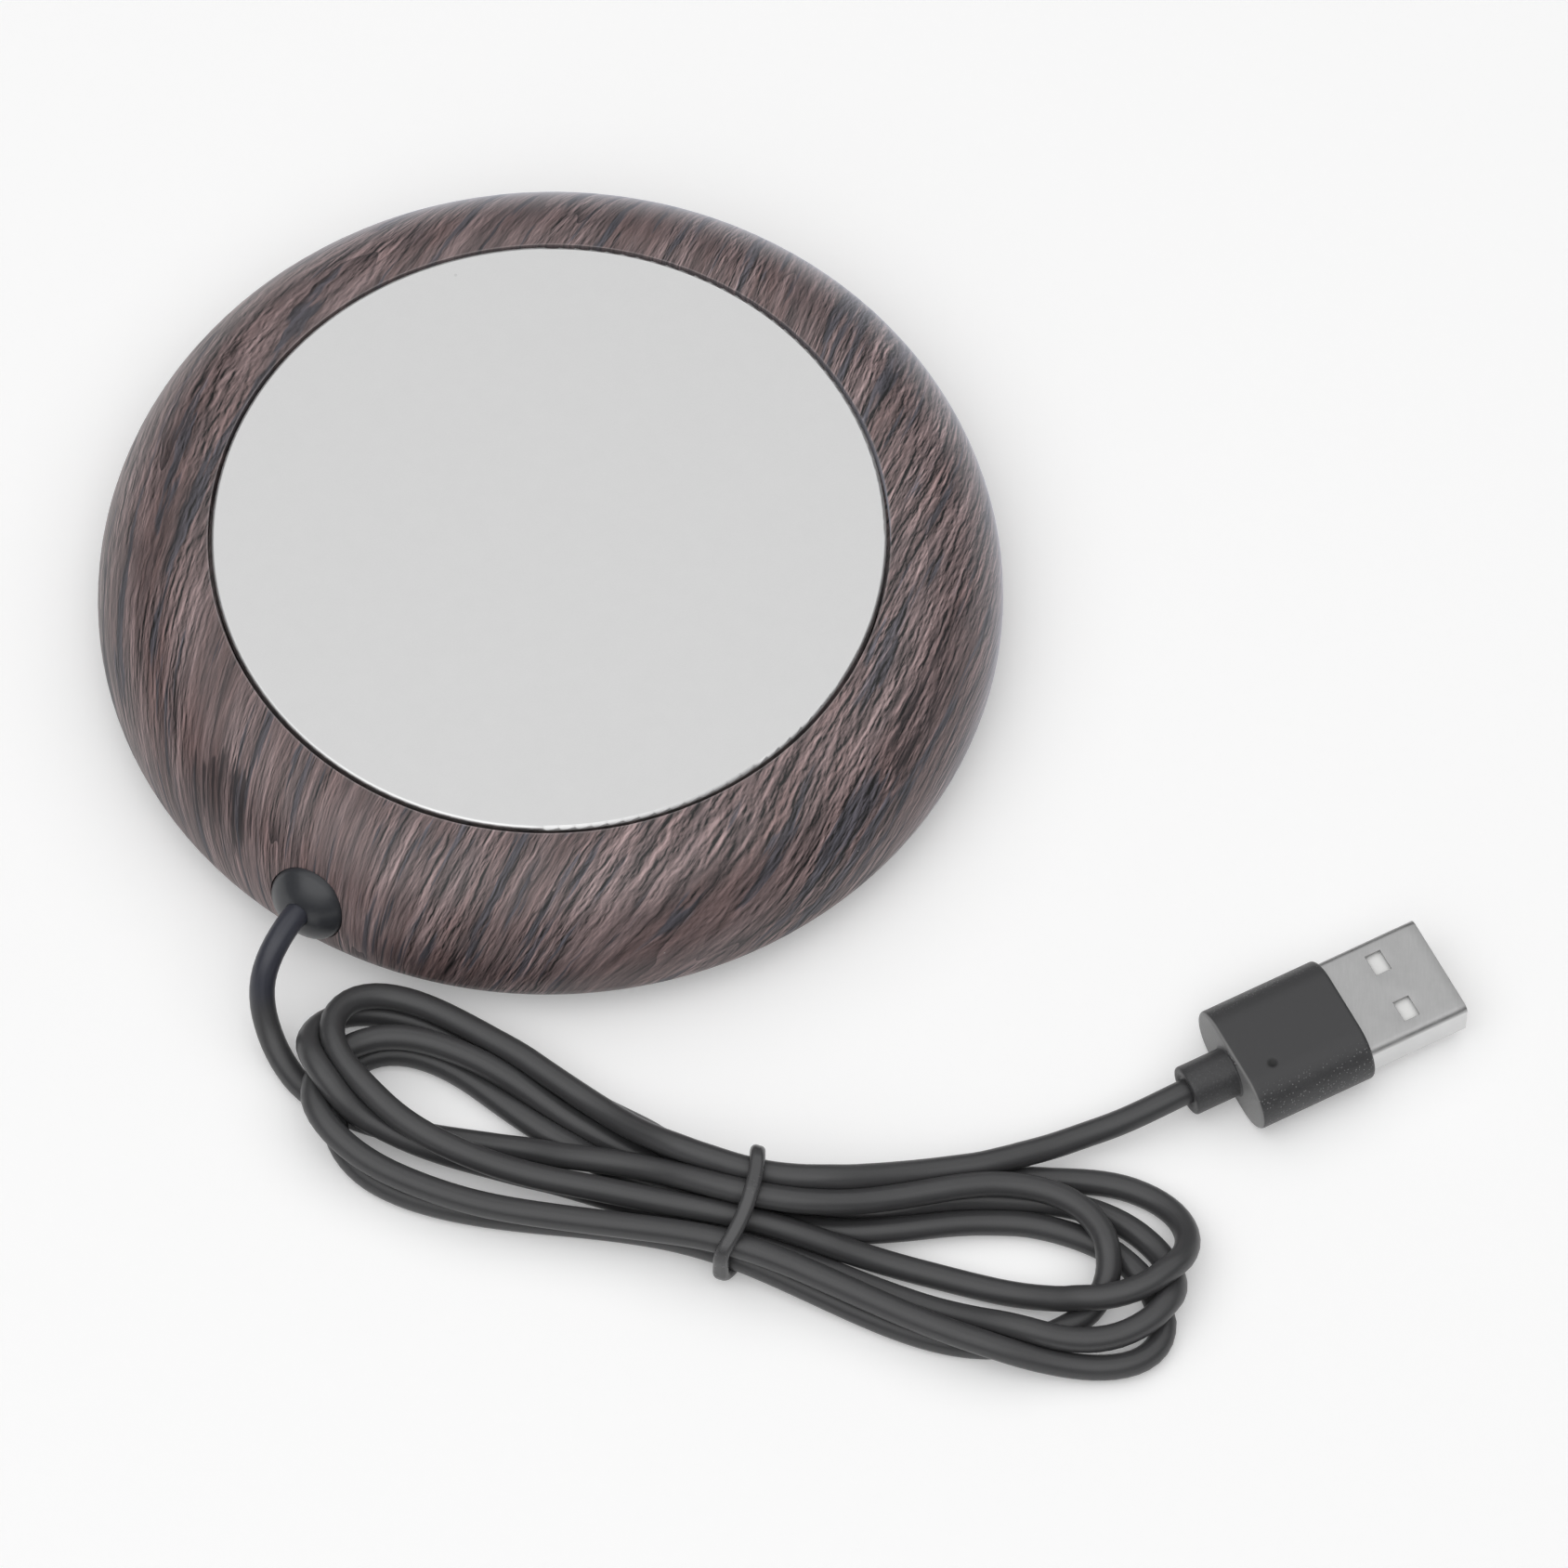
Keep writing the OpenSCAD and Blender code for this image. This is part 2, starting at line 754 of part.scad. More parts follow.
// jacketed cord inside the housing, from the grommet's mouth through the clamp
module cord_inside() {
  out = [cos(gland_rise), 0, sin(gland_rise)];
  entry = [gland_r, 0, gland_height];
  color([0.2, 0.2, 0.21])
  towards_entry()
  strand([entry + exit_out * out, entry, entry - 4 * out, entry - cord_run * out, [39, 0, 6.2],
    [36.5, 0, 5.1], [34.5, 0, jacket_z], [clamp_centre, 0, jacket_z], [29, 0, jacket_z],
    [jacket_end, 0, jacket_z]], cord_r, -out, [-1, 0, 0]);
}

// bar that holds the cord down on its cradle
module cord_clamp() {
  color([0.13, 0.13, 0.14])
  towards_entry()
  difference() {
    union() {
      translate([clamp_centre - clamp_depth / 2, -clamp_spread, clamp_boss_z])
      cube([clamp_depth, 2 * clamp_spread, clamp_bar]);
      for (s = [-1, 1]) {
        translate([clamp_centre, s * clamp_spread, clamp_boss_z])
        cylinder(h = clamp_bar, r = clamp_depth / 2, $fn = 32);
      }
    }
    for (s = [-1, 1]) {
      translate([clamp_centre, s * clamp_spread, 0])
      cylinder(h = body_height, r = small_screw / 2 + locating_gap, $fn = 24);
    }
    translate([clamp_centre - clamp_depth, 0, jacket_z])
    rotate([0, 90, 0])
    cylinder(h = 2 * clamp_depth, r = cord_r + cord_gap, $fn = 32);
  }
}

// two screws of the clamp, driven from above
module clamp_screws() {
  color([0.78, 0.78, 0.8])
  towards_entry()
  for (s = [-1, 1]) {
    translate([clamp_centre, s * clamp_spread, clamp_boss_z + clamp_bar])
    rotate([180, 0, 0])
    screw(small_screw / 2, clamp_bar + 2.4, small_head / 2, small_head_height);
  }
}

// free cord from the grommet down to the hank
module cord_lead() {
  color([0.25, 0.25, 0.26])
  strand(concat([exit_point], [for (p = lead_route) p + front]), cord_r, exit_way, lead_way);
}

// free cord from the hank to the plug's strain relief
module cord_tail() {
  turn = [cos(plug_turn), sin(plug_turn), 0];
  color([0.25, 0.25, 0.26])
  strand(concat([for (p = tail_route) p + front], [[plug_at[0], plug_at[1], plug_z] + front]),
    cord_r, tail_way, turn);
}

// outline of one lobe of the hank, round at its ends
module lobe(rounds) {
  hull()
  for (c = rounds) {
    translate([c[0], c[1]])
    circle(c[2], $fn = 32);
  }
}

// section through the strands where they pass the tie
module bundle_section(grow) {
  hull()
  for (c = bundle) {
    translate(c)
    circle(cord_r + grow, $fn = 32);
  }
}

// children in the frame of the tie: X across the strands, Y up, Z along them
module at_tie() {
  translate([tie_at[0], tie_at[1] - body_r, 0])
  rotate([0, 0, tie_turn])
  rotate([90, 0, 0])
  children();
}

// room for the end of a free stretch of cord, cut square to it
module end_room(p, w, r) {
  translate([p[0], p[1], 0] + front)
  rotate([0, 0, atan2(w[1], w[0])])
  translate([0, -r, -1])
  cube([16, 2 * r, 20]);
}

// folded middle of the cord as one flat solid, gripped by the tie
module cord_hank() {
  color([0.22, 0.22, 0.23])
  union() {
    difference() {
      translate(front)
      linear_extrude(hank_height)
      union() {
        lobe(hank_left);
        lobe(hank_right);
      }
      at_tie()
      translate([-20, -1, -tie_width / 2 - pocket_gap])
      cube([48, 30, tie_width + 2 * pocket_gap]);
      end_room(lead_route[len(lead_route) - 1], -lead_way, cord_r + locating_gap);
      end_room(tail_route[0], tail_way, cord_r + locating_gap);
    }
    at_tie()
    translate([0, 0, -bundle_length / 2])
    linear_extrude(bundle_length)
    bundle_section(0);
  }
}

// round black tie pulled tight round the strands
module cord_tie() {
  color([0.03, 0.03, 0.03])
  at_tie()
  translate([0, 0, -tie_width / 2])
  linear_extrude(tie_width)
  difference() {
    bundle_section(tie_thickness);
    bundle_section(0);
  }
}

// flat-sided outline with full round edges, in the plane across the plug
module plug_outline(w, h) {
  square([w - h, h], center = true);
  for (s = [-1, 1]) {
    translate([s * (w - h) / 2, 0])
    circle(h / 2, $fn = 48);
  }
}

// children turned so that an outline in X and Y lies across the plug and its depth runs forwards
module across_plug() {
  rotate([90, 0, 90])
  children();
}

// moulded handle and strain relief of the plug
module usb_overmould() {
  color([0.16, 0.16, 0.17])
  at_plug()
  difference() {
    union() {
      across_plug()
      cylinder(h = relief_length + 1, r = relief_diameter / 2, $fn = 48);
      translate([relief_length, 0, 0])
      across_plug()
      linear_extrude(handle_length)
      plug_outline(handle_width, handle_height);
    }
    translate([relief_length + handle_length - usb_root, 0, 0])
    across_plug()
    linear_extrude(usb_root + 1)
    square([usb_width + 2 * pocket_gap, usb_height + 2 * pocket_gap], center = true);
  }
}

// folded sheet-metal shell of the plug, with its latch windows
module usb_shell() {
  color([0.78, 0.78, 0.79])
  at_plug()
  translate([relief_length + handle_length - usb_root, 0, 0])
  difference() {
    across_plug()
    linear_extrude(usb_root + usb_reach)
    difference() {
      square([usb_width, usb_height], center = true);
      square([usb_width - 2 * usb_sheet, usb_height - 2 * usb_sheet], center = true);
    }
    for (s = [-1, 1]) {
      translate([usb_root + usb_reach - window_set, s * window_apart / 2, 0])
      cube([window_long, window_wide, usb_height + 1], center = true);
    }
  }
}

// plastic tongue of the plug, filling the shell at its root
module usb_tongue() {
  inner_w = usb_width - 2 * usb_sheet - 2 * pocket_gap;
  inner_h = usb_height - 2 * usb_sheet;
  color([0.93, 0.93, 0.92])
  at_plug()
  translate([relief_length + handle_length - usb_root, -inner_w / 2, 0])
  union() {
    translate([0, 0, inner_h / 2 - tongue_height])
    cube([usb_root + usb_reach - 0.6, inner_w, tongue_height]);
    translate([0, 0, -inner_h / 2])
    cube([usb_root, inner_w, inner_h]);
  }
}

// four contacts on the tongue
module usb_contacts() {
  color([0.83, 0.68, 0.32])
  at_plug()
  for (k = [0:3]) {
    translate([relief_length + handle_length + usb_reach - 0.9 - contact_reach[k],
      contact_apart[k] - contact_wide / 2,
      usb_height / 2 - usb_sheet - tongue_height - contact_thick])
    cube([contact_reach[k], contact_wide, contact_thick]);
  }
}

top_shell();
base_cover();
heating_plate();
plate_gasket();
heater_film();
heater_track();
thermal_cutout();
insulation_pad();
retainer_plate();
retainer_screws();
heater_lead_red();
heater_lead_black();
splice_sleeves();
base_screws();
rubber_feet();
cord_grommet();
cord_inside();
cord_clamp();
clamp_screws();
cord_lead();
cord_hank();
cord_tail();
cord_tie();
usb_overmould();
usb_shell();
usb_tongue();
usb_contacts();
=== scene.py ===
"""Looks of a round desk mug warmer: wood-grain housing, metal heating plate, and a USB cord in a tied hank.

The packed CAD model is the fixed frame. Each operator below makes or finishes one group of pieces round it.
Lengths are metres, apart from names that end in _MM and the coordinates that materials read, which are
millimetres.
"""
import math

import bpy
import numpy as np
from bpy.props import FloatProperty, FloatVectorProperty, PointerProperty
from mathutils import Matrix, Vector


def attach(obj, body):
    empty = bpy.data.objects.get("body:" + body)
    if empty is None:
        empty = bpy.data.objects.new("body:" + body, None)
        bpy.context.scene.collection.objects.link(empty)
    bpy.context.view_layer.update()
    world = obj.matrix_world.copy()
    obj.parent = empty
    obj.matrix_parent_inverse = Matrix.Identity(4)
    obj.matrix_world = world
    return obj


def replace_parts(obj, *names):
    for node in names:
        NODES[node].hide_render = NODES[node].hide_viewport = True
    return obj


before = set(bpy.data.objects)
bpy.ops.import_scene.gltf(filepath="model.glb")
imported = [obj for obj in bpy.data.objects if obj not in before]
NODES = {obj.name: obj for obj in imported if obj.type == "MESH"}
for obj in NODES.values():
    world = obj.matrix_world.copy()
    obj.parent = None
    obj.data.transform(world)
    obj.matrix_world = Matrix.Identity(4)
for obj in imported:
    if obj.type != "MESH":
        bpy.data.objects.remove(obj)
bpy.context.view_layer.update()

bl_info = {
    "name": "Mug warmer looks",
    "version": (1, 0, 0),
    "blender": (4, 5, 0),
    "location": "View3D > Sidebar > Warmer",
    "description": "Finishes a packed mug warmer: housing film, plate, cord, tie, plug and stage",
    "category": "Object",
}

MM = 0.001

# Sizes and places that the CAD source also holds
CROWN_X_MM = 37.4                   # radius of the circle that the crown's arc is centred on
CROWN_RADIUS_MM = 12.6              # radius of the crown's arc
WIDEST_Z_MM = 5.4                   # height of the housing's widest line
PLUG_AT_MM = (69.7, -60.7, 4.0)     # where the cord enters the plug's strain relief
PLUG_TURN = math.radians(28)
PLUG_AHEAD = (math.cos(PLUG_TURN), math.sin(PLUG_TURN), 0.0)
TIE_AT_MM = (20.6, -79.6)           # middle of the tie
TIE_TURN = math.radians(72.7)
TIE_ALONG = np.array([math.cos(TIE_TURN), math.sin(TIE_TURN), 0])      # level direction in the tie's plane
TIE_SQUARE = np.array([math.sin(TIE_TURN), -math.cos(TIE_TURN), 0])    # level direction square to that plane

# Darker patches of the wood film: middle across and along the grain, half size across and along it, strength
DARK_PATCHES_MM = ((-22.1, -46.4, 7.5, 6.0, 0.9), (42.4, 4.1, 2.6, 10.0, 0.75), (-36.0, -20.0, 2.0, 7.0, 0.5))

# Cord route: entry, drop to the table, nine passes through the tie, then out to the plug
ROUTE_MM = (
    (-25.5, -41.5, 9.4), (-26.6, -43.4, 10.2), (-27.8, -45.4, 10.8), (-29.6, -48.8, 10.1), (-30.3, -51.2, 6.3),
    (-28.4, -56.2, 1.9), (-25.8, -59.8, 1.4), (-21.5, -62.8, 1.4), (-15.1, -65.2, 1.4), (-7.6, -66.8, 1.4),
    (-0.9, -67.8, 1.9), (5.4, -69.5, 3.9), (12.6, -71.5, 5.5), (18.8, -74, 7.6), (24.9, -75.5, 8.1),
    (31, -75.8, 7.4), (37.7, -74.3, 5.9), (45.2, -72.8, 5.1), (51.4, -72.5, 4.6), (56.1, -73.6, 4.3),
    (59.4, -76, 4.3), (61.2, -79.3, 4), (61.2, -82.7, 2.7), (59.3, -85.9, 1.4), (55.9, -88.4, 1.4),
    (51.4, -90.1, 1.4), (45.8, -90.2, 1.4), (39.3, -88.4, 1.4), (31.1, -84.8, 1.8), (22.6, -81.2, 2.8),
    (15.1, -78.5, 2.5), (7, -76.7, 1.6), (-2.6, -75.6, 1.4), (-11, -74, 1.4), (-16.6, -71.8, 1.4),
    (-20.3, -69, 1.8), (-22.2, -65.7, 2.9), (-22.5, -62.2, 3.5), (-21.9, -59, 2.5), (-19.8, -56.5, 1.5),
    (-16.3, -55.5, 1.4), (-12.3, -56.3, 1.4), (-7.3, -59, 1.4), (0, -64.5, 1.4), (7.7, -69.5, 1.5),
    (15.3, -72.7, 2.3), (22.7, -75.3, 2.9), (29.7, -76.7, 2.4), (37, -76.8, 2.6), (44.5, -75.6, 2.4),
    (51.2, -75.4, 1.8), (57.2, -76.9, 1.4), (62.2, -79.4, 1.4), (65.5, -82.7, 1.4), (67.3, -86.1, 1.4),
    (67.2, -89.5, 1.4), (64.8, -91.9, 1.4), (61.1, -92.7, 1.4), (56.2, -92.5, 2), (50.1, -91.7, 3.6),
    (43.5, -89.7, 4.1), (35.4, -86.1, 4.2), (27.2, -82.6, 5.1), (19.4, -80.1, 5.6), (11.3, -78.2, 4.7),
    (2.2, -76.7, 4.1), (-6.8, -75.1, 4.1), (-14, -72.5, 4.1), (-19.3, -69.6, 4.5), (-22.6, -66.6, 5.4),
    (-24, -63, 5.2), (-23.4, -59.4, 4.5), (-20.9, -56.6, 4.2), (-17.2, -55.1, 4.1), (-12.5, -55.6, 4),
    (-7, -57.7, 3.8), (-0.6, -61.1, 2.3), (5.5, -65, 1.4), (11.9, -68.6, 1.8), (19.6, -71.2, 2.7), (27, -73.5, 2.7),
    (33.1, -74.5, 1.9), (39.3, -73.7, 2.4), (47, -72.9, 2.2), (54.5, -72.9, 1.6), (60.3, -74.3, 1.4),
    (64.6, -76.8, 1.4), (67.3, -79.9, 1.8), (68.3, -83.3, 2.8), (67.3, -86.5, 4.1), (64.6, -88.9, 3.7),
    (60.7, -90.3, 3.5), (55.8, -90.4, 3.8), (50.5, -89.1, 3.8), (45.1, -87, 2.1), (38.2, -84.5, 1.5),
    (29.7, -81.1, 2.1), (21.4, -77.7, 2.9), (13, -74.8, 2.1), (3.8, -71.8, 1.4), (-4.3, -69.3, 2),
    (-12.1, -67.6, 3.2), (-17.7, -65.5, 4.3), (-21.3, -63.6, 6.2), (-23.7, -60.9, 7.5), (-25, -57.8, 6.5),
    (-24.6, -54.8, 4.7), (-22.7, -52.2, 3.1), (-19.4, -50.9, 2), (-15.1, -51.4, 1.4), (-9.4, -53.9, 1.4),
    (0.1, -58.7, 1.4), (6.8, -62.5, 1.6), (11.6, -66, 3.3), (15.5, -70, 4.9), (19.9, -73.1, 5.2),
    (24.8, -74.5, 5.2), (29.8, -74.3, 5), (34.2, -72.9, 3.3), (39.1, -72.2, 1.5), (45.4, -71, 1.4),
    (54.4, -70.5, 1.4), (61.1, -70.7, 1.4), (65.6, -72.2, 1.5), (68.6, -74.8, 2.3), (69.8, -78, 3.4),
    (69.2, -81.3, 4.7), (66.7, -83.9, 5.4), (63.1, -85.5, 4.9), (58.4, -85.8, 3.9), (52.9, -84.6, 2),
    (45.9, -82.9, 1.4), (38.6, -80.9, 1.7), (31.7, -79.5, 3.6), (24.4, -77.8, 5.3), (16.8, -76.1, 5.4),
    (7.7, -73.6, 4.3), (-0.7, -71.6, 4), (-7.9, -69.6, 5.2), (-14.1, -66.7, 6.2), (-18.6, -62.9, 6.8),
    (-21.5, -59.4, 7), (-22.8, -55.8, 6.8), (-22, -52.6, 6), (-19.6, -50.5, 5.1), (-16, -50.2, 4.3),
    (-11.7, -51.7, 3.9), (-5.6, -55.2, 4.1), (2, -60.3, 4.1), (7.7, -64.5, 4.6), (12.2, -68.2, 6.6),
    (17.5, -71.1, 7.8), (23.2, -73.1, 7.7), (28.9, -73.8, 7.7), (34.1, -73.2, 6.4), (45, -70.8, 5),
    (48.6, -69.7, 4.4), (52, -68.4, 3.7), (55.3, -67.1, 3.2), (58.6, -65.7, 3), (62, -64.4, 3.2), (69.7, -60.7, 4),
)


# ---------------------------------------------------------------- sizes and colours that a user would change

def length_prop(name, text, mm, low=0.0):
    """A length property shown in the scene's units, given in millimetres."""
    return FloatProperty(name=name, description=text, default=mm * MM, min=low * MM, unit="LENGTH", precision=5)


def colour_prop(name, text, rgb):
    """A colour property in linear light."""
    return FloatVectorProperty(name=name, description=text, default=rgb, size=3, min=0, max=1, subtype="COLOR")


def share_prop(name, text, value, high=1.0):
    """A plain number from 0 to its highest value."""
    return FloatProperty(name=name, description=text, default=value, min=0, max=high)


class WarmerHousing(bpy.types.PropertyGroup):
    """Wood-grain film on the moulded housing."""
    light: colour_prop("Light wood", "Lightest fibres of the film", (0.232, 0.168, 0.167))
    middle: colour_prop("Middle wood", "Main tone of the film", (0.152, 0.101, 0.098))
    dark: colour_prop("Dark wood", "Dark mauve fibres", (0.062, 0.048, 0.049))
    streak: colour_prop("Streaks", "Blue-grey streaks between the fibres", (0.046, 0.050, 0.064))
    ink: colour_prop("Lines", "Dark lines of the grain", (0.022, 0.018, 0.020))
    grain_turn: FloatProperty(name="Grain direction", description="Turn of the grain from the X axis",
                              default=math.radians(60), subtype="ANGLE")
    roughness: share_prop("Roughness", "Roughness of the film", 0.42)


class WarmerPlate(bpy.types.PropertyGroup):
    """Satin heating plate."""
    colour: colour_prop("Metal", "Colour of the plate", (0.70, 0.70, 0.70))
    roughness: share_prop("Roughness", "Roughness of the satin face", 0.38)


class WarmerCord(bpy.types.PropertyGroup):
    """Jacketed cord, its hank and its tie."""
    diameter: length_prop("Diameter", "Outside diameter of the jacket", 2.8, 1)
    jacket: colour_prop("Jacket", "Colour of the jacket", (0.056, 0.056, 0.058))
    roughness: share_prop("Roughness", "Roughness of the jacket", 0.36)
    tie_thickness: length_prop("Tie thickness", "Thickness of the tie", 1.4, 0.5)
    tie_width: length_prop("Tie width", "Width of the tie", 1.7, 0.5)
    tie_colour: colour_prop("Tie", "Colour of the tie", (0.062, 0.062, 0.064))


class WarmerPlug(bpy.types.PropertyGroup):
    """Moulded handle and metal shell of the plug."""
    handle_width: length_prop("Handle width", "Width of the moulded handle", 14.8, 10)
    handle_height: length_prop("Handle height", "Thickness of the moulded handle", 8, 5)
    handle_length: length_prop("Handle length", "Length of the moulded handle", 14, 8)
    handle_edge: length_prop("Handle edge", "Radius of the handle's end edges", 0.45, 0.1)
    relief_diameter: length_prop("Relief diameter", "Diameter of the strain relief", 5.6, 3)
    relief_length: length_prop("Relief length", "Length of the strain relief", 5.4, 2)
    shell_width: length_prop("Shell width", "Width of the metal shell", 12, 11)
    shell_height: length_prop("Shell height", "Height of the metal shell", 4.5, 4)
    shell_reach: length_prop("Shell reach", "Length of metal shell outside the handle", 11.8, 8)
    sheet: length_prop("Sheet", "Thickness of the metal sheet", 0.3, 0.1)
    plastic: colour_prop("Handle", "Colour of the handle", (0.045, 0.045, 0.047))
    metal: colour_prop("Metal", "Colour of the metal shell", (0.45, 0.45, 0.45))


class WarmerStage(bpy.types.PropertyGroup):
    """Floor, light and camera."""
    floor: colour_prop("Floor", "Colour of the floor", (0.86, 0.86, 0.86))
    floor_lift: share_prop("Floor lift", "How much the floor is raised towards white where it is seen", 0.20)
    sky: share_prop("Sky", "Strength of the light from above", 1.0, 4)
    key: FloatProperty(name="Key lamp", description="Power of the side lamp", default=9.0, min=0, unit="POWER")
    flag_distance: length_prop("Flag distance", "Radius of the wall of dark flags", 2500, 500)
    flag_height: length_prop("Flag height", "Height of the wall of dark flags", 1900, 0)
    flag_tone: colour_prop("Flag tone", "Colour of the flags", (0.25, 0.25, 0.25))


# ---------------------------------------------------------------- mesh helpers

def make_piece(name, verts, faces, smooth, uv=None):
    """Mesh object from points, faces, one smooth flag for each face, and UV pairs for each face corner."""
    mesh = bpy.data.meshes.new(name)
    mesh.from_pydata(verts.tolist(), [], faces)
    mesh.polygons.foreach_set("use_smooth", smooth)
    if uv is not None:
        mesh.uv_layers.new(name="UVMap").data.foreach_set("uv", np.asarray(uv, np.float32).ravel())
    mesh.update()
    piece = bpy.data.objects.new(name, mesh)
    bpy.context.scene.collection.objects.link(piece)
    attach(piece, "root")
    return piece


def loft(name, rows, ring=False, run=None, around=None):
    """Closed surface through sections: row i is a section of n points, and cell (i, j) is the quad of rows i and
    i+1 and columns j and j+1, with columns wrapping. ring joins the last row to the first; otherwise each end is
    closed by a fan to its section's middle. The signed volume, the sum over triangles of a dot (b cross c) / 6,
    turns the faces outwards. UV is the run along the rows and the run round a section."""
    rows = np.asarray(rows, float)
    m, n = rows.shape[:2]
    i = np.arange(m if ring else m - 1)[:, None] + np.zeros((1, n), int)
    j = np.arange(n)[None, :] + np.zeros_like(i)
    corners = [(i, j), (i, j + 1), (i + 1, j + 1), (i + 1, j)]
    quads = np.stack([p % m * n + q % n for p, q in corners], axis=-1).reshape(-1, 4)
    verts = rows.reshape(-1, 3)
    run = np.arange(m + 1.0) if run is None else np.r_[run, run[-1] * 2 - run[-2]]
    around = float(n) if around is None else around
    uv = np.stack([np.stack([run[p], q / n * around], axis=-1) for p, q in corners], axis=2).reshape(-1, 2)
    fans = np.zeros((0, 3), int)
    if not ring:
        verts = np.vstack([verts, rows[0].mean(0), rows[-1].mean(0)])
        k, end = np.arange(n), (m - 1) * n
        fans = np.vstack([np.stack([k * 0 + m * n, (k + 1) % n, k], axis=1),
                          np.stack([k * 0 + m * n + 1, end + k, end + (k + 1) % n], axis=1)])
        cap_uv = np.stack([np.repeat(run[[0, m - 1]], 3 * n), np.tile(np.repeat(k / n * around, 3), 2)], axis=1)
        uv = np.vstack([uv, cap_uv])
    triangles = np.vstack([quads[:, [0, 1, 2]], quads[:, [0, 2, 3]], fans])
    a, b, c = (verts[triangles[:, t]] for t in range(3))
    if (a * np.cross(b, c)).sum() < 0:
        quads, fans = quads[:, ::-1], fans[:, ::-1]
        uv = np.vstack([uv[:len(quads) * 4].reshape(-1, 4, 2)[:, ::-1].reshape(-1, 2),
                        uv[len(quads) * 4:].reshape(-1, 3, 2)[:, ::-1].reshape(-1, 2)])
    smooth = np.r_[np.ones(len(quads), bool), np.zeros(len(fans), bool)]
    return make_piece(name, verts, quads.tolist() + fans.tolist(), smooth, uv)


def run_along(points):
    """Distance along a line at each of its points."""
    return np.r_[0, np.cumsum(np.linalg.norm(np.diff(points, axis=0), axis=1))]


def unit(vectors):
    """Vectors brought to length 1."""
    return vectors / np.linalg.norm(vectors, axis=1)[:, None]


def even_loop(points, count):
    """Evenly spaced points of a closed flat line, and their distances along it."""
    run = run_along(points)
    at = np.linspace(0, run[-1], count, endpoint=False)
    return np.stack([np.interp(at, run, points[:, k]) for k in (0, 1)], axis=1), at


def outline(half_width, half_height, radius, count):
    """Points of a rounded rectangle, evenly spaced round it: four quarter circles of the radius about the
    corner centres, joined by straight sides, starting at the middle of the right side."""
    radius = min(radius, half_width, half_height)
    turn = np.linspace(0, math.pi / 2, 25)
    centre = np.array([half_width - radius, half_height - radius])
    arc = centre + radius * np.stack([np.cos(turn), np.sin(turn)], axis=1)
    left = arc[::-1] * (-1, 1)
    ring = np.vstack([[[half_width, 0]], arc, left, -arc, -left, [[half_width, 0]]])
    return even_loop(ring, count)[0]


def at_plug(points):
    """Points of the plug's own frame, X forwards from the cord's end, turned and moved to its place."""
    c, s = math.cos(PLUG_TURN), math.sin(PLUG_TURN)
    turned = np.asarray(points, float) @ np.array([[c, s, 0], [-s, c, 0], [0, 0, 1]])
    return turned + np.array(PLUG_AT_MM) * MM


# ---------------------------------------------------------------- material helpers

SHARED = {}     # node groups by name, made in main


class Graph:
    """Adds nodes to one material or group. Each call returns the output that the next call takes."""

    def __init__(self, tree):
        self.tree = tree

    def feed(self, socket, value):
        """Links an output to a socket, or sets the socket's own value."""
        if isinstance(value, bpy.types.NodeSocket):
            self.tree.links.new(value, socket)
        else:
            socket.default_value = value

    def node(self, kind, inputs=None, out=0, **settings):
        """A node by its short name, with inputs filled by number or name from values or outputs."""
        made = self.tree.nodes.new("ShaderNode" + kind)
        for key, value in settings.items():
            setattr(made, key, value)
        for key, value in (inputs or {}).items():
            self.feed(made.inputs[key], value)
        return made.outputs[out]

    def math(self, operation, a, b=0.5):
        return self.node("Math", {0: a, 1: b}, operation=operation)

    def plus(self, a, b):
        return self.math("ADD", a, b)

    def minus(self, a, b):
        return self.math("SUBTRACT", a, b)

    def times(self, a, b):
        return self.math("MULTIPLY", a, b)

    def vector(self, operation, a, b=(0, 0, 0), out="Vector"):
        return self.node("VectorMath", {0: a, 1: b}, out=out, operation=operation)

    def part(self, vector, axis):
        """One coordinate of a vector."""
        return self.node("SeparateXYZ", {0: vector}, out=axis)

    def spread(self, value, low, high, to_low=0.0, to_high=1.0):
        """A value's range made another range, with soft ends."""
        return self.node("MapRange", {0: value, 1: low, 2: high, 3: to_low, 4: to_high},
                         interpolation_type="SMOOTHSTEP")

    def noise(self, vector, scale, detail=3.0, roughness=0.55):
        return self.node("TexNoise", {"Vector": vector, "Scale": scale, "Detail": detail, "Roughness": roughness})

    def stretched(self, vector, sizes, detail=1.0, roughness=0.55):
        """Noise on a vector that is first multiplied by a size for each axis."""
        return self.noise(self.vector("MULTIPLY", vector, sizes), 1.0, detail, roughness)

    def mix(self, factor, a, b, blend="MIX"):
        """Two colours mixed by a factor."""
        made = self.tree.nodes.new("ShaderNodeMix")
        made.data_type, made.blend_type = "RGBA", blend
        self.feed(made.inputs[0], factor)
        for socket, colour in ((made.inputs[6], a), (made.inputs[7], b)):
            self.feed(socket, colour if isinstance(colour, bpy.types.NodeSocket) else (*colour, 1))
        return made.outputs[2]

    def group(self, name, **inputs):
        """A shared group placed with its own values; returns its outputs."""
        made = self.tree.nodes.new("ShaderNodeGroup")
        made.node_tree = SHARED[name]
        for key, value in inputs.items():
            self.feed(made.inputs[key], value)
        return made.outputs

    def fibres(self, vector, across, along, low=0.3, high=0.7, detail=3.0):
        """Mask of the shared fibres."""
        return self.group("fibres", Vector=vector, Across=across, Along=along, Low=low, High=high,
                          Detail=detail)["Mask"]

    def specks(self, vector, spacing, size, share):
        """Mask of the shared specks."""
        return self.group("specks", Vector=vector, Spacing=spacing, Size=size, Share=share)["Mask"]

    def bump(self, height, distance, strength):
        return self.node("Bump", {"Height": height, "Distance": distance, "Strength": strength})


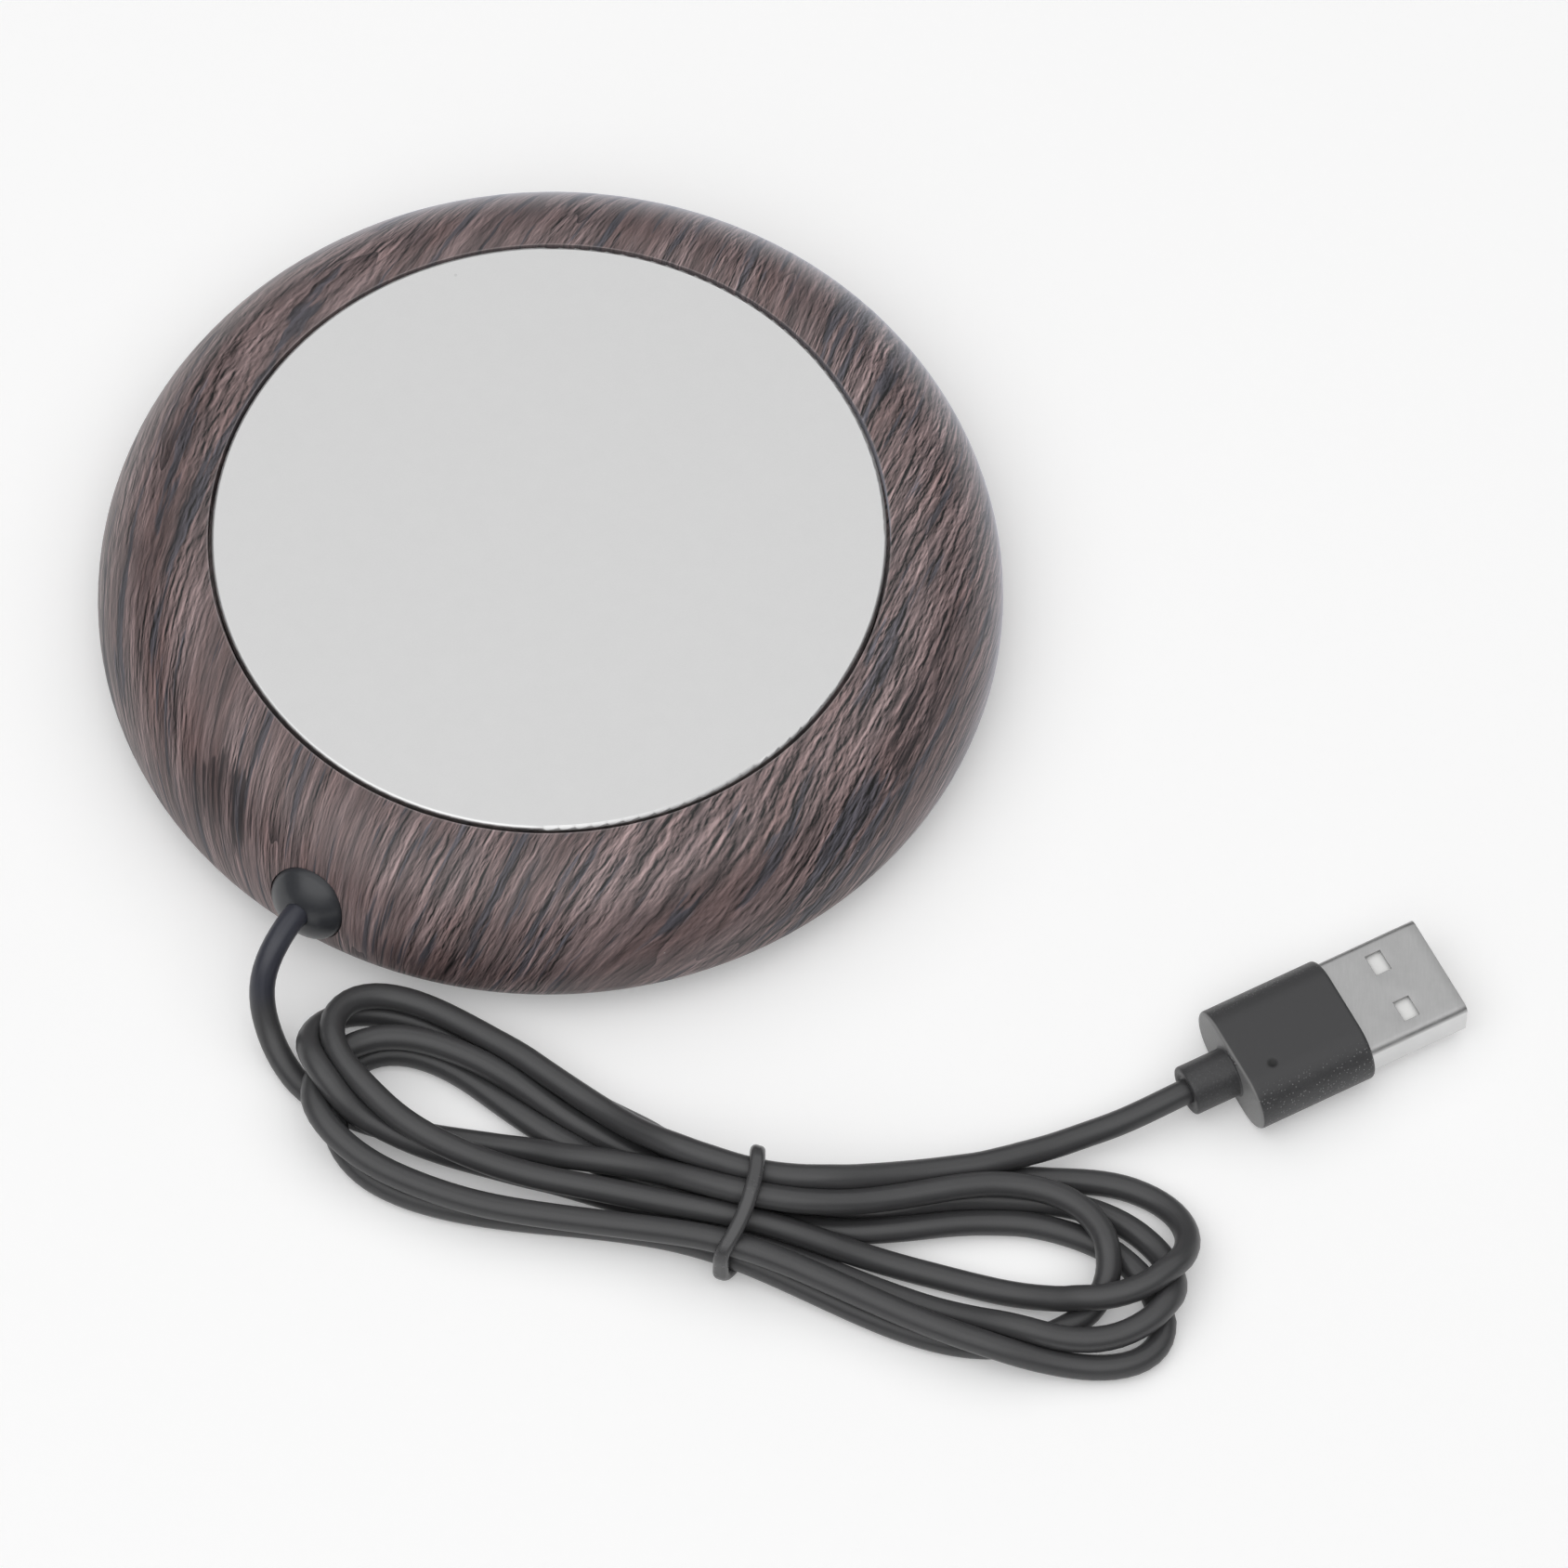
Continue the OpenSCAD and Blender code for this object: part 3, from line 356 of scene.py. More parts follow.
def shared_group(name, takes, gives):
    """An empty node group with named inputs (name, kind, default) and outputs (name, kind). Returns the group,
    its graph, its inputs' outputs, and a function that joins a value to an output."""
    tree = bpy.data.node_groups.new(name, "ShaderNodeTree")
    for label, kind, value in takes:
        socket = tree.interface.new_socket(label, in_out="INPUT", socket_type="NodeSocket" + kind)
        if value is not None:
            socket.default_value = value
    for label, kind in gives:
        tree.interface.new_socket(label, in_out="OUTPUT", socket_type="NodeSocket" + kind)
    source, sink = tree.nodes.new("NodeGroupInput"), tree.nodes.new("NodeGroupOutput")
    return tree, Graph(tree), source.outputs, lambda label, value: tree.links.new(value, sink.inputs[label])


def make_fibres():
    """Fibres: noise squeezed across and stretched along Y, cut to a mask between two levels."""
    tree, g, take, give = shared_group("fibres", [
        ("Vector", "Vector", None), ("Across", "Float", 1.0), ("Along", "Float", 0.1), ("Detail", "Float", 3.0),
        ("Low", "Float", 0.4), ("High", "Float", 0.6)], [("Mask", "Float")])
    sizes = g.node("CombineXYZ", {0: take["Across"], 1: take["Along"], 2: take["Across"]})
    value = g.stretched(take["Vector"], sizes, detail=take["Detail"], roughness=0.66)
    give("Mask", g.spread(value, take["Low"], take["High"]))
    return tree


def make_moulding():
    """Moulding texture: fine even noise over a coarser one, as a height and as a soft tone about 1."""
    tree, g, take, give = shared_group("moulding", [
        ("Vector", "Vector", None), ("Grain", "Float", 4.0), ("Contrast", "Float", 0.1)],
        [("Height", "Float"), ("Tone", "Float")])
    fine = g.stretched(take["Vector"], take["Grain"], detail=2.0)
    broad = g.noise(take["Vector"], 0.35)
    give("Height", g.plus(fine, g.times(broad, 0.3)))
    both = g.plus(g.times(fine, 0.5), g.times(broad, 0.5))
    give("Tone", g.plus(g.times(g.minus(both, 0.5), take["Contrast"]), 1.0))
    return tree


def make_specks():
    """Specks: cells of a Voronoi pattern, of which a share have a small dot about their middle."""
    tree, g, take, give = shared_group("specks", [
        ("Vector", "Vector", None), ("Spacing", "Float", 4.0), ("Size", "Float", 0.08), ("Share", "Float", 0.2)],
        [("Mask", "Float")])
    cell = tree.nodes.new("ShaderNodeTexVoronoi")
    g.feed(cell.inputs["Vector"], g.vector("DIVIDE", take["Vector"], take["Spacing"]))
    cell.inputs["Scale"].default_value = 1.0
    near = g.math("LESS_THAN", cell.outputs["Distance"], take["Size"])
    pick = g.math("LESS_THAN", g.part(cell.outputs["Color"], 0), take["Share"])
    give("Mask", g.times(near, pick))
    return tree


def in_mm(g):
    """Object coordinates in millimetres."""
    return g.vector("MULTIPLY", g.node("TexCoord", out="Object"), (1000, 1000, 1000))


def new_finish(name, roughness, metallic=0.0, ior=1.5):
    """A material with the graph to paint it with and its Principled shader."""
    material = bpy.data.materials.new(name)
    material.use_nodes = True
    shader = material.node_tree.nodes["Principled BSDF"]
    shader.inputs["Roughness"].default_value = roughness
    shader.inputs["Metallic"].default_value = metallic
    shader.inputs["IOR"].default_value = ior
    return material, Graph(material.node_tree), shader


def tint(g, tone, colour):
    """A colour made lighter and darker by a tone about 1."""
    grey = g.node("CombineColor", {0: tone, 1: tone, 2: tone})
    return g.mix(1.0, colour, grey, blend="MULTIPLY")


def paint(g, shader, colour, roughness, normal):
    """Joins painted values to the shader's sockets; a roughness of None leaves the shader's own."""
    for name, value in (("Base Color", colour), ("Roughness", roughness), ("Normal", normal)):
        if value is not None:
            g.feed(shader.inputs[name], value)


def moulded(name, colour, roughness, grain=4.0, depth_mm=0.02, contrast=0.25):
    """Moulded plastic or rubber: an even fine texture in height, tone and roughness."""
    material, g, shader = new_finish(name, roughness)
    texture = g.group("moulding", Vector=in_mm(g), Grain=grain, Contrast=contrast)
    paint(g, shader, tint(g, texture["Tone"], colour),
          g.spread(texture["Tone"], 0.9, 1.1, roughness - 0.06, roughness + 0.06),
          g.bump(texture["Height"], depth_mm * MM, 0.6))
    return material


def brushed(name, colour, roughness, across=6.0, along=0.4):
    """Metal with fine lines along its local Y: stretched noise in tone, roughness and height."""
    material, g, shader = new_finish(name, roughness, metallic=1.0)
    lines = g.fibres(in_mm(g), across, along)
    paint(g, shader, tint(g, g.spread(lines, 0, 1, 0.94, 1.04), colour),
          g.spread(lines, 0, 1, roughness - 0.05, roughness + 0.07), g.bump(lines, 0.006 * MM, 0.5))
    return material


def dress(material, *names):
    """Gives CAD nodes a material in every slot they have."""
    for name in names:
        slots = NODES[name].material_slots
        for slot in slots:
            slot.link = "DATA"
            slot.material = material
        if not slots:
            NODES[name].data.materials.append(material)


# ---------------------------------------------------------------- cord

def spline(points, step):
    """Natural cubic spline over chord length: the second derivatives solve the usual three-term rows, and each
    span is then the cubic through its ends with them. Sampled every step."""
    t = run_along(points)
    h = np.diff(t)[:, None]
    n = len(points)
    i = np.arange(1, n - 1)
    rows, target = np.eye(n), np.zeros_like(points)
    rows[i, i - 1], rows[i, i], rows[i, i + 1] = h[:-1, 0], 2 * (h[:-1, 0] + h[1:, 0]), h[1:, 0]
    target[1:-1] = 6 * (np.diff(points[1:], axis=0) / h[1:] - np.diff(points[:-1], axis=0) / h[:-1])
    bend = np.linalg.solve(rows, target)
    at = np.linspace(0, t[-1], int(t[-1] / step) + 1)
    k = np.clip(np.searchsorted(t, at, side="right") - 1, 0, n - 2)
    after, before, span = (at - t[k])[:, None], (t[k + 1] - at)[:, None], h[k]
    return ((bend[k] * before**3 + bend[k + 1] * after**3) / (6 * span)
            + (points[k] / span - bend[k] * span / 6) * before
            + (points[k + 1] / span - bend[k + 1] * span / 6) * after)


# How the cord settles; lengths are in diameters, and shares are of one step
STEPS = 240
SINK = 0.003                               # drop
TIGHTEST = 2.25                            # radius below which a bend is straightened
SPANS = ((1, 0.02, 0.6), (3, 0.12, 0.25))  # points to each side, share straightened, share smoothed
SKIPPED = 1.8                              # run along the cord within which points don't push each other
WATCHED, WATCH_STEPS = 1.7, 20             # distance of the pairs that are watched, and how long they stay so
PUSH = 0.3                                 # share of an overlap that each push takes away
RETURN, RETURN_UP = 0.08, 0.3              # share drawn back to the laid route, and how much of it upwards
TIE_REACH = 3.6                            # half width of the tie's lift
HELD = (4, 20)                             # points held at the first and the last end


def tie_lift(points, lift, reach):
    """How far the tie holds the strands off the table: the lift times e to minus the square of the distance
    from the tie's plane over the reach."""
    away = (points[:, :2] - np.array(TIE_AT_MM) * MM) @ TIE_SQUARE[:2]
    return lift * np.exp(-(away / reach) ** 2)


def settle(line, d, lift):
    """Lets the cord lie under its own weight. Each step lowers the points a little, straightens tight bends,
    smooths by the fourth difference over one and three points, pushes apart strands that are nearer than a
    diameter, keeps them above the table and the tie, and draws them back towards the laid route. The first and
    the last points stay where they are."""
    x, n = line.copy(), len(line)
    step = np.linalg.norm(np.diff(x, axis=0), axis=1).mean()
    free = np.ones((n, 1))
    free[:HELD[0]] = free[n - HELD[1]:] = 0
    i, j = np.triu_indices(n, int(SKIPPED * d / step) + 1)
    for count in range(STEPS):
        if count % WATCH_STEPS == 0:
            near = np.linalg.norm(x[i] - x[j], axis=1) < WATCHED * d
            a, b = i[near], j[near]
        y = x.copy()
        y[:, 2] -= SINK * d
        for m, straighten, smooth in SPANS:
            second, fourth = np.zeros_like(y), np.zeros_like(y)
            second[m:-m] = (y[2 * m:] + y[:-2 * m]) / 2 - y[m:-m]
            bend = 2 * np.linalg.norm(second, axis=1) / (m * step) ** 2
            tight = np.clip(1 - 1 / (TIGHTEST * d * np.maximum(bend, 1e-9)), 0, 1)[:, None] if m > 1 else 1
            y += straighten * tight * second
            fourth[2 * m:-2 * m] = -y[:-4 * m] + 4 * y[m:-3 * m] - 6 * y[2 * m:-2 * m] + 4 * y[3 * m:-m] - y[4 * m:]
            y += smooth / 16 * fourth
        for _ in range(2):
            gap = y[a] - y[b]
            far = np.linalg.norm(gap, axis=1)
            hit = far < d
            push = gap[hit] * (PUSH * (d - far[hit]) / np.maximum(far[hit], 1e-9))[:, None]
            ends, both = np.r_[a[hit], b[hit]], np.r_[push, -push]
            total = np.stack([np.bincount(ends, both[:, c], n) for c in range(3)], axis=1)
            shared = np.bincount(ends, minlength=n)[:, None]
            y += total * np.minimum(shared, 2) / np.maximum(shared, 1)
            y[:, 2] = np.maximum(y[:, 2], d / 2 + tie_lift(y, lift, TIE_REACH * d))
        y += RETURN * (line - y) * (1, 1, RETURN_UP)
        x += (y - x) * free
    return x


def tube(name, line, radius, sides):
    """Round tube: a circle of the radius carried along the line, in the plane of two directions square to it,
    one level and one rising."""
    along = unit(np.gradient(line, axis=0))
    level = unit(np.cross(along, (0, 0, 1)))
    rise = np.cross(level, along)
    turn = np.linspace(0, 2 * math.pi, sides, endpoint=False)[None, :, None]
    rows = line[:, None] + radius * (np.cos(turn) * level[:, None] + np.sin(turn) * rise[:, None])
    return loft(name, rows, run=run_along(line), around=2 * math.pi * radius)


def jacket_finish(name, colour, roughness):
    """Extruded jacket: long faint drag lines that follow the cord's own UV, over an even fine texture, and a
    bluish stretch next to the grommet."""
    material, g, shader = new_finish(name, roughness, ior=1.48)
    uv = g.node("TexCoord", out="UV")
    run, around = g.part(uv, 0), g.part(uv, 1)
    unrolled = g.vector("MULTIPLY", g.node("CombineXYZ", {0: around, 1: run}), (1000, 1000, 0))
    lines = g.fibres(unrolled, across=1.4, along=0.03)
    texture = g.group("moulding", Vector=in_mm(g), Grain=5.0, Contrast=0.3)
    tone = g.times(texture["Tone"], g.spread(lines, 0, 1, 0.93, 1.07))
    bluish = g.spread(run, 11 * MM, 15 * MM, 0.7, 0.0)
    shade = g.mix(bluish, colour, (0.036, 0.039, 0.058))
    height = g.plus(texture["Height"], g.times(lines, 0.5))
    paint(g, shader, tint(g, tone, shade), g.spread(lines, 0, 1, roughness - 0.04, roughness + 0.05),
          g.bump(height, 0.012 * MM, 0.5))
    return material


class WARMER_OT_cord(bpy.types.Operator):
    """Lays the cord from the grommet through its tied hank to the plug"""
    bl_idname = "warmer.cord"
    bl_label = "Cord and tie"

    def execute(self, context):
        size = context.scene.warmer_cord
        spacing, sides, inside_plug, play = 1.1 * MM, 28, 1.5 * MM, 0.1 * MM
        route = np.array(ROUTE_MM) * MM
        route = np.vstack([route, route[-1] + inside_plug * np.array(PLUG_AHEAD)])
        line = settle(spline(route, spacing), size.diameter, size.tie_thickness + play)
        cord = tube("cord", line, size.diameter / 2, sides)
        cord.data.materials.append(jacket_finish("cord jacket", size.jacket, size.roughness))
        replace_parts(cord, "cord_lead", "cord_hank", "cord_tail")
        tie = self.tie(line, size)
        return {"FINISHED"}

    def tie(self, line, size):
        """Closed band round the strands: for each direction, the furthest strand centre plus the strand's
        radius and half the band, made even along its length, and carried with a rounded section. A parabola
        across the bundle bows it along the strands."""
        bundle_reach, directions, points, sides, bow = 15 * MM, 1441, 160, 28, 1.2 * MM
        corner = size.tie_thickness * 0.42
        origin = np.array([*TIE_AT_MM, 0]) * MM
        off = (line - origin) @ TIE_SQUARE
        crossing = off[:-1] * off[1:] < 0
        cut = np.flatnonzero(crossing & (np.abs((line[:-1] - origin) @ TIE_ALONG) < bundle_reach))
        centres = np.stack([(line[cut] - origin) @ TIE_ALONG, line[cut, 2]], axis=1)
        turn = np.linspace(0, 2 * math.pi, directions)
        ways = np.stack([np.cos(turn), np.sin(turn)], axis=1)
        reach = size.diameter / 2 + size.tie_thickness / 2
        hull = centres[np.argmax(centres @ ways.T, axis=0)] + reach * ways
        loop, at = even_loop(hull, points)
        ahead = unit(np.roll(loop, -1, axis=0) - np.roll(loop, 1, axis=0))
        out = np.stack([ahead[:, 1], -ahead[:, 0]], axis=1)
        section = outline(size.tie_width / 2, size.tie_thickness / 2, corner, sides)
        flat = loop[:, None] + section[None, :, 1:2] * out[:, None]
        middle, half = (loop[:, 0].max() + loop[:, 0].min()) / 2, np.ptp(loop[:, 0]) / 2
        bowed = bow * (1 - ((loop[:, 0] - middle) / half)**2)
        rows = origin + flat[..., :1] * TIE_ALONG + flat[..., 1:] * np.array([0, 0, 1])
        rows = rows + (section[None, :, :1] + bowed[:, None, None]) * TIE_SQUARE
        piece = loft("cord_band", rows, ring=True, run=at)
        piece.data.materials.append(moulded("tie plastic", size.tie_colour, 0.26, grain=2.0, depth_mm=0.006,
                                            contrast=0.15))
        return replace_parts(piece, "cord_tie")


# ---------------------------------------------------------------- plug

class WARMER_OT_plug(bpy.types.Operator):
    """Makes the plug's moulded handle and its folded metal shell"""
    bl_idname = "warmer.plug"
    bl_label = "Plug"

    def execute(self, context):
        size = context.scene.warmer_plug
        self.handle(size)
        self.shell(size)
        dress(moulded("plug tongue", (0.80, 0.80, 0.79), 0.35, grain=1.5, depth_mm=0.004, contrast=0.06),
              "usb_tongue")
        dress(brushed("gold contacts", (0.83, 0.62, 0.28), 0.25, across=8.0, along=0.5), "usb_contacts")
        return {"FINISHED"}

    def handle(self, size):
        """Handle and strain relief as one surface: rounded-rectangle sections along X, a circle on the relief,
        then a full-round bar, its end edges following a quarter circle, and the pocket for the metal shell. The
        gate mark is a dimple in the top: its depth times e to minus the fourth power of the distance from its
        middle over its radius."""
        count = 240                         # points of a section
        small = 0.25 * MM                   # radius of the relief's edges
        a, b = size.handle_width / 2, size.handle_height / 2
        relief, start = size.relief_diameter / 2, size.relief_length
        end, edge = size.relief_length + size.handle_length, size.handle_edge
        quarter = [(1 - math.cos(t), 1 - math.sin(t)) for t in np.linspace(0, math.pi / 2, 7)]
        nub = [(0.2 * MM, 0.62 * relief), (0, 0.7 * relief)]
        nub += [(small * c, relief - small * s) for c, s in quarter]
        nub += [(x, relief) for x in np.linspace(small, start - small, 14)[1:]]
        nub += [(start - small * s, relief + small * c) for c, s in quarter[1:]]
        stations = [(x, w, w) for x, w in nub]
        stations += [(start, a - edge - k, b - edge - k) for k in (0.6 * MM, 0.15 * MM)]
        stations += [(start + edge * c, a - edge * s, b - edge * s) for c, s in quarter]
        stations += [(x, a, b) for x in np.linspace(start + edge, end - edge, 58)[1:]]
        stations += [(end - edge * s, a - edge * c, b - edge * c) for c, s in quarter[1:]]
        stations += [(end, a - edge - k, b - edge - k) for k in (0.1 * MM, 0.3 * MM)]
        rows = [np.column_stack([np.full(count, x), outline(w, h, min(w, h), count)]) for x, w, h in stations]

        play, pocket_corner, pocket_depth = 0.05 * MM, 0.65 * MM, 1.2 * MM
        pocket = outline(size.shell_width / 2 + play, size.shell_height / 2 + play, pocket_corner, count)
        rows += [np.column_stack([np.full(count, x), pocket]) for x in (end, end - pocket_depth)]
        rows = np.array(rows)

        gate, gate_radius, gate_depth = np.array([8.83, -2.98]) * MM, 0.5 * MM, 0.14 * MM
        far = np.linalg.norm(rows[..., :2] - gate, axis=-1) / gate_radius
        rows[..., 2] -= np.where(rows[..., 2] > 0, gate_depth * np.exp(-far**4), 0)
        piece = loft("plug_handle", at_plug(rows))
        gate_mm = [float(v) / MM for v in at_plug([*gate, b])]
        piece.data.materials.append(handle_finish("plug handle", size.plastic, gate_mm, start / MM))
        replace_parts(piece, "usb_overmould")

    def shell(self, size):
        """Metal shell: a rounded rectangle carried along X as a sheet of quads, the cells of the four latch
        windows left out, then given its wall inwards."""
        root, bend = 5 * MM, 0.6 * MM       # length inside the handle, radius of the long edges
        a, b = size.shell_width / 2, size.shell_height / 2
        start = size.relief_length + size.handle_length - root
        end = start + root + size.shell_reach
        window_x, half_x = end - 5.9 * MM, 0.95 * MM
        window_ys, half_y = (3.15 * MM, -3.15 * MM), 1.3 * MM
        xs = np.unique(np.r_[np.linspace(start, window_x - half_x, 12), np.linspace(window_x + half_x, end, 5)])
        flat = np.unique([bend - a, 0.0, a - bend, *(y + side * half_y for y in window_ys for side in (-1, 1))])
        turn = np.linspace(0, math.pi / 2, 9)
        arc = np.stack([a - bend + bend * np.cos(turn), b - bend + bend * np.sin(turn)], axis=1)
        top = np.stack([flat[::-1], np.full(len(flat), b)], axis=1)[1:-1]
        half = np.vstack([arc, top, arc[::-1] * (-1, 1)])
        ring = np.vstack([half, -half])
        m, n = len(xs), len(ring)
        grid = np.concatenate([np.broadcast_to(xs[:, None, None], (m, n, 1)),
                               np.broadcast_to(ring[None], (m, n, 2))], axis=2)
        i, j = np.meshgrid(np.arange(m - 1), np.arange(n), indexing="ij")
        quads = np.stack([i * n + j, (i + 1) * n + j, (i + 1) * n + (j + 1) % n, i * n + (j + 1) % n], axis=-1)

        middle_x = (xs[:-1] + xs[1:])[:, None] / 2
        middle_y = ((ring + np.roll(ring, -1, axis=0)) / 2)[None, :, 0]
        level = (np.abs(ring[:, 1]) > b - 1e-6) & (np.abs(np.roll(ring[:, 1], -1)) > b - 1e-6)
        beside = np.any([np.abs(middle_y - y) < half_y for y in window_ys], axis=0)
        hole = (np.abs(middle_x - window_x) < half_x) & beside & level[None]
        faces = quads[~hole]
        piece = make_piece("plug_shell", at_plug(grid.reshape(-1, 3)), faces.tolist(), np.ones(len(faces), bool))
        wall = piece.modifiers.new("wall", "SOLIDIFY")
        wall.thickness, wall.offset, wall.use_even_offset = size.sheet, -1, True
        edge = piece.modifiers.new("edge", "BEVEL")
        edge.width, edge.segments, edge.limit_method, edge.angle_limit = 0.05 * MM, 2, "ANGLE", math.radians(50)
        piece.data.materials.append(nickel_finish("plug metal", size.metal))
        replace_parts(piece, "usb_shell")


def handle_finish(name, colour, gate, rear):
    """Moulded plastic: smooth above, sparked on the sides, where light specks are painted as glints of the spark
    texture, with a dark gate mark, and a rear face painted paler as a reflection of the pale floor; rear is how
    far that face is ahead of the cord's end of the plug."""
    material, g, shader = new_finish(name, 0.5)
    place = in_mm(g)
    texture = g.group("moulding", Vector=place, Grain=3.5, Contrast=0.9)
    side = g.spread(g.part(place, 2), 6.9, 7.9, 1.0, 0.0)
    shade = tint(g, g.spread(side, 0, 1, 1.0, texture["Tone"]), colour)

    from_end = g.vector("SUBTRACT", place, PLUG_AT_MM)
    run = g.vector("DOT_PRODUCT", from_end, PLUG_AHEAD, out="Value")
    # Painted glints: light specks on the sides, ahead of the rear face, stand in for the spark texture catching the
    # light.
    painted_spark_glints = g.times(side, g.spread(run, rear, rear + 0.3, 0.15, 0.95))
    specks = g.specks(place, spacing=0.3, size=0.24, share=0.6)
    shade = g.mix(g.times(specks, painted_spark_glints), shade, (0.21, 0.21, 0.21))

    # Painted reflection: the rear face round the relief is painted paler, as if it reflected the pale floor.
    on_axis = g.vector("MULTIPLY", PLUG_AHEAD, g.node("CombineXYZ", {0: run, 1: run, 2: run}))
    aside = g.vector("LENGTH", g.vector("SUBTRACT", from_end, on_axis), out="Value")
    face = g.times(g.spread(g.math("ABSOLUTE", g.minus(run, rear)), 0.12, 0.3, 1.0, 0.0),
                   g.spread(aside, 2.95, 3.1))
    shade = g.mix(g.times(face, 0.9), shade, (0.26, 0.26, 0.26))
    far = g.vector("DISTANCE", place, gate, out="Value")
    shade = g.mix(g.spread(far, 0.35, 0.75, 0.95, 0.0), shade, (0.004, 0.004, 0.004))

    height = g.times(texture["Height"], g.spread(side, 0, 1, 0.25, 1.6))
    paint(g, shader, shade, g.spread(side, 0, 1, 0.5, 0.42), g.bump(height, 0.05 * MM, 0.6))
    return material


def nickel_finish(name, colour):
    """Nickel-plated sheet: soft cloudy handling marks, fine rolling lines, and sides painted brighter as a
    reflection of the pale floor.
    """
    material, g, shader = new_finish(name, 0.3, metallic=1.0)
    place = in_mm(g)
    cloud = g.noise(place, 0.35, detail=4.0)
    lines = g.fibres(place, across=5.0, along=0.5)
    tone = g.times(g.spread(cloud, 0.3, 0.7, 0.93, 1.06), g.spread(lines, 0, 1, 0.98, 1.02))
    # Painted reflection: the sides below the top are painted pale, as if they reflected the pale floor.
    side = g.spread(g.part(place, 2), 5.7, 6.1, 1.0, 0.0)
    shade = g.mix(side, tint(g, tone, colour), (0.72, 0.72, 0.72))
    paint(g, shader, shade, g.spread(cloud, 0.3, 0.7, 0.36, 0.50),
          g.bump(g.plus(cloud, g.times(lines, 0.1)), 0.02 * MM, 0.3))
    return material


# ---------------------------------------------------------------- housing

def film_plan(g, place, grain_turn):
    """Plan of the film: it is unrolled from the crown's arc, the distance from the axis replaced by the run
    along the arc, so that the grain keeps its size down the sides. It is then turned to the grain, which stands
    steeper towards the left and, less so, the right. Gives that distance and the plan across and along."""
    x, y, z = (g.part(place, axis) for axis in range(3))
    r = g.math("SQRT", g.plus(g.times(x, x), g.times(y, y)))
    turn = g.math("ARCTAN2", g.minus(r, CROWN_X_MM), g.minus(z, WIDEST_Z_MM))
    share = g.math("DIVIDE", g.plus(g.times(turn, CROWN_RADIUS_MM), CROWN_X_MM), r)
    flat_x, flat_y = g.times(x, share), g.times(y, share)
    c, s = math.cos(grain_turn), math.sin(grain_turn)
    lean = g.times(g.spread(flat_x, -56, -14, 0.2, 1.0), g.spread(flat_x, 0, 40, 1.0, 0.66))
    across = g.minus(g.times(flat_x, s), g.times(g.times(flat_y, c), lean))
    return r, across, g.plus(g.times(flat_x, c), g.times(flat_y, s))


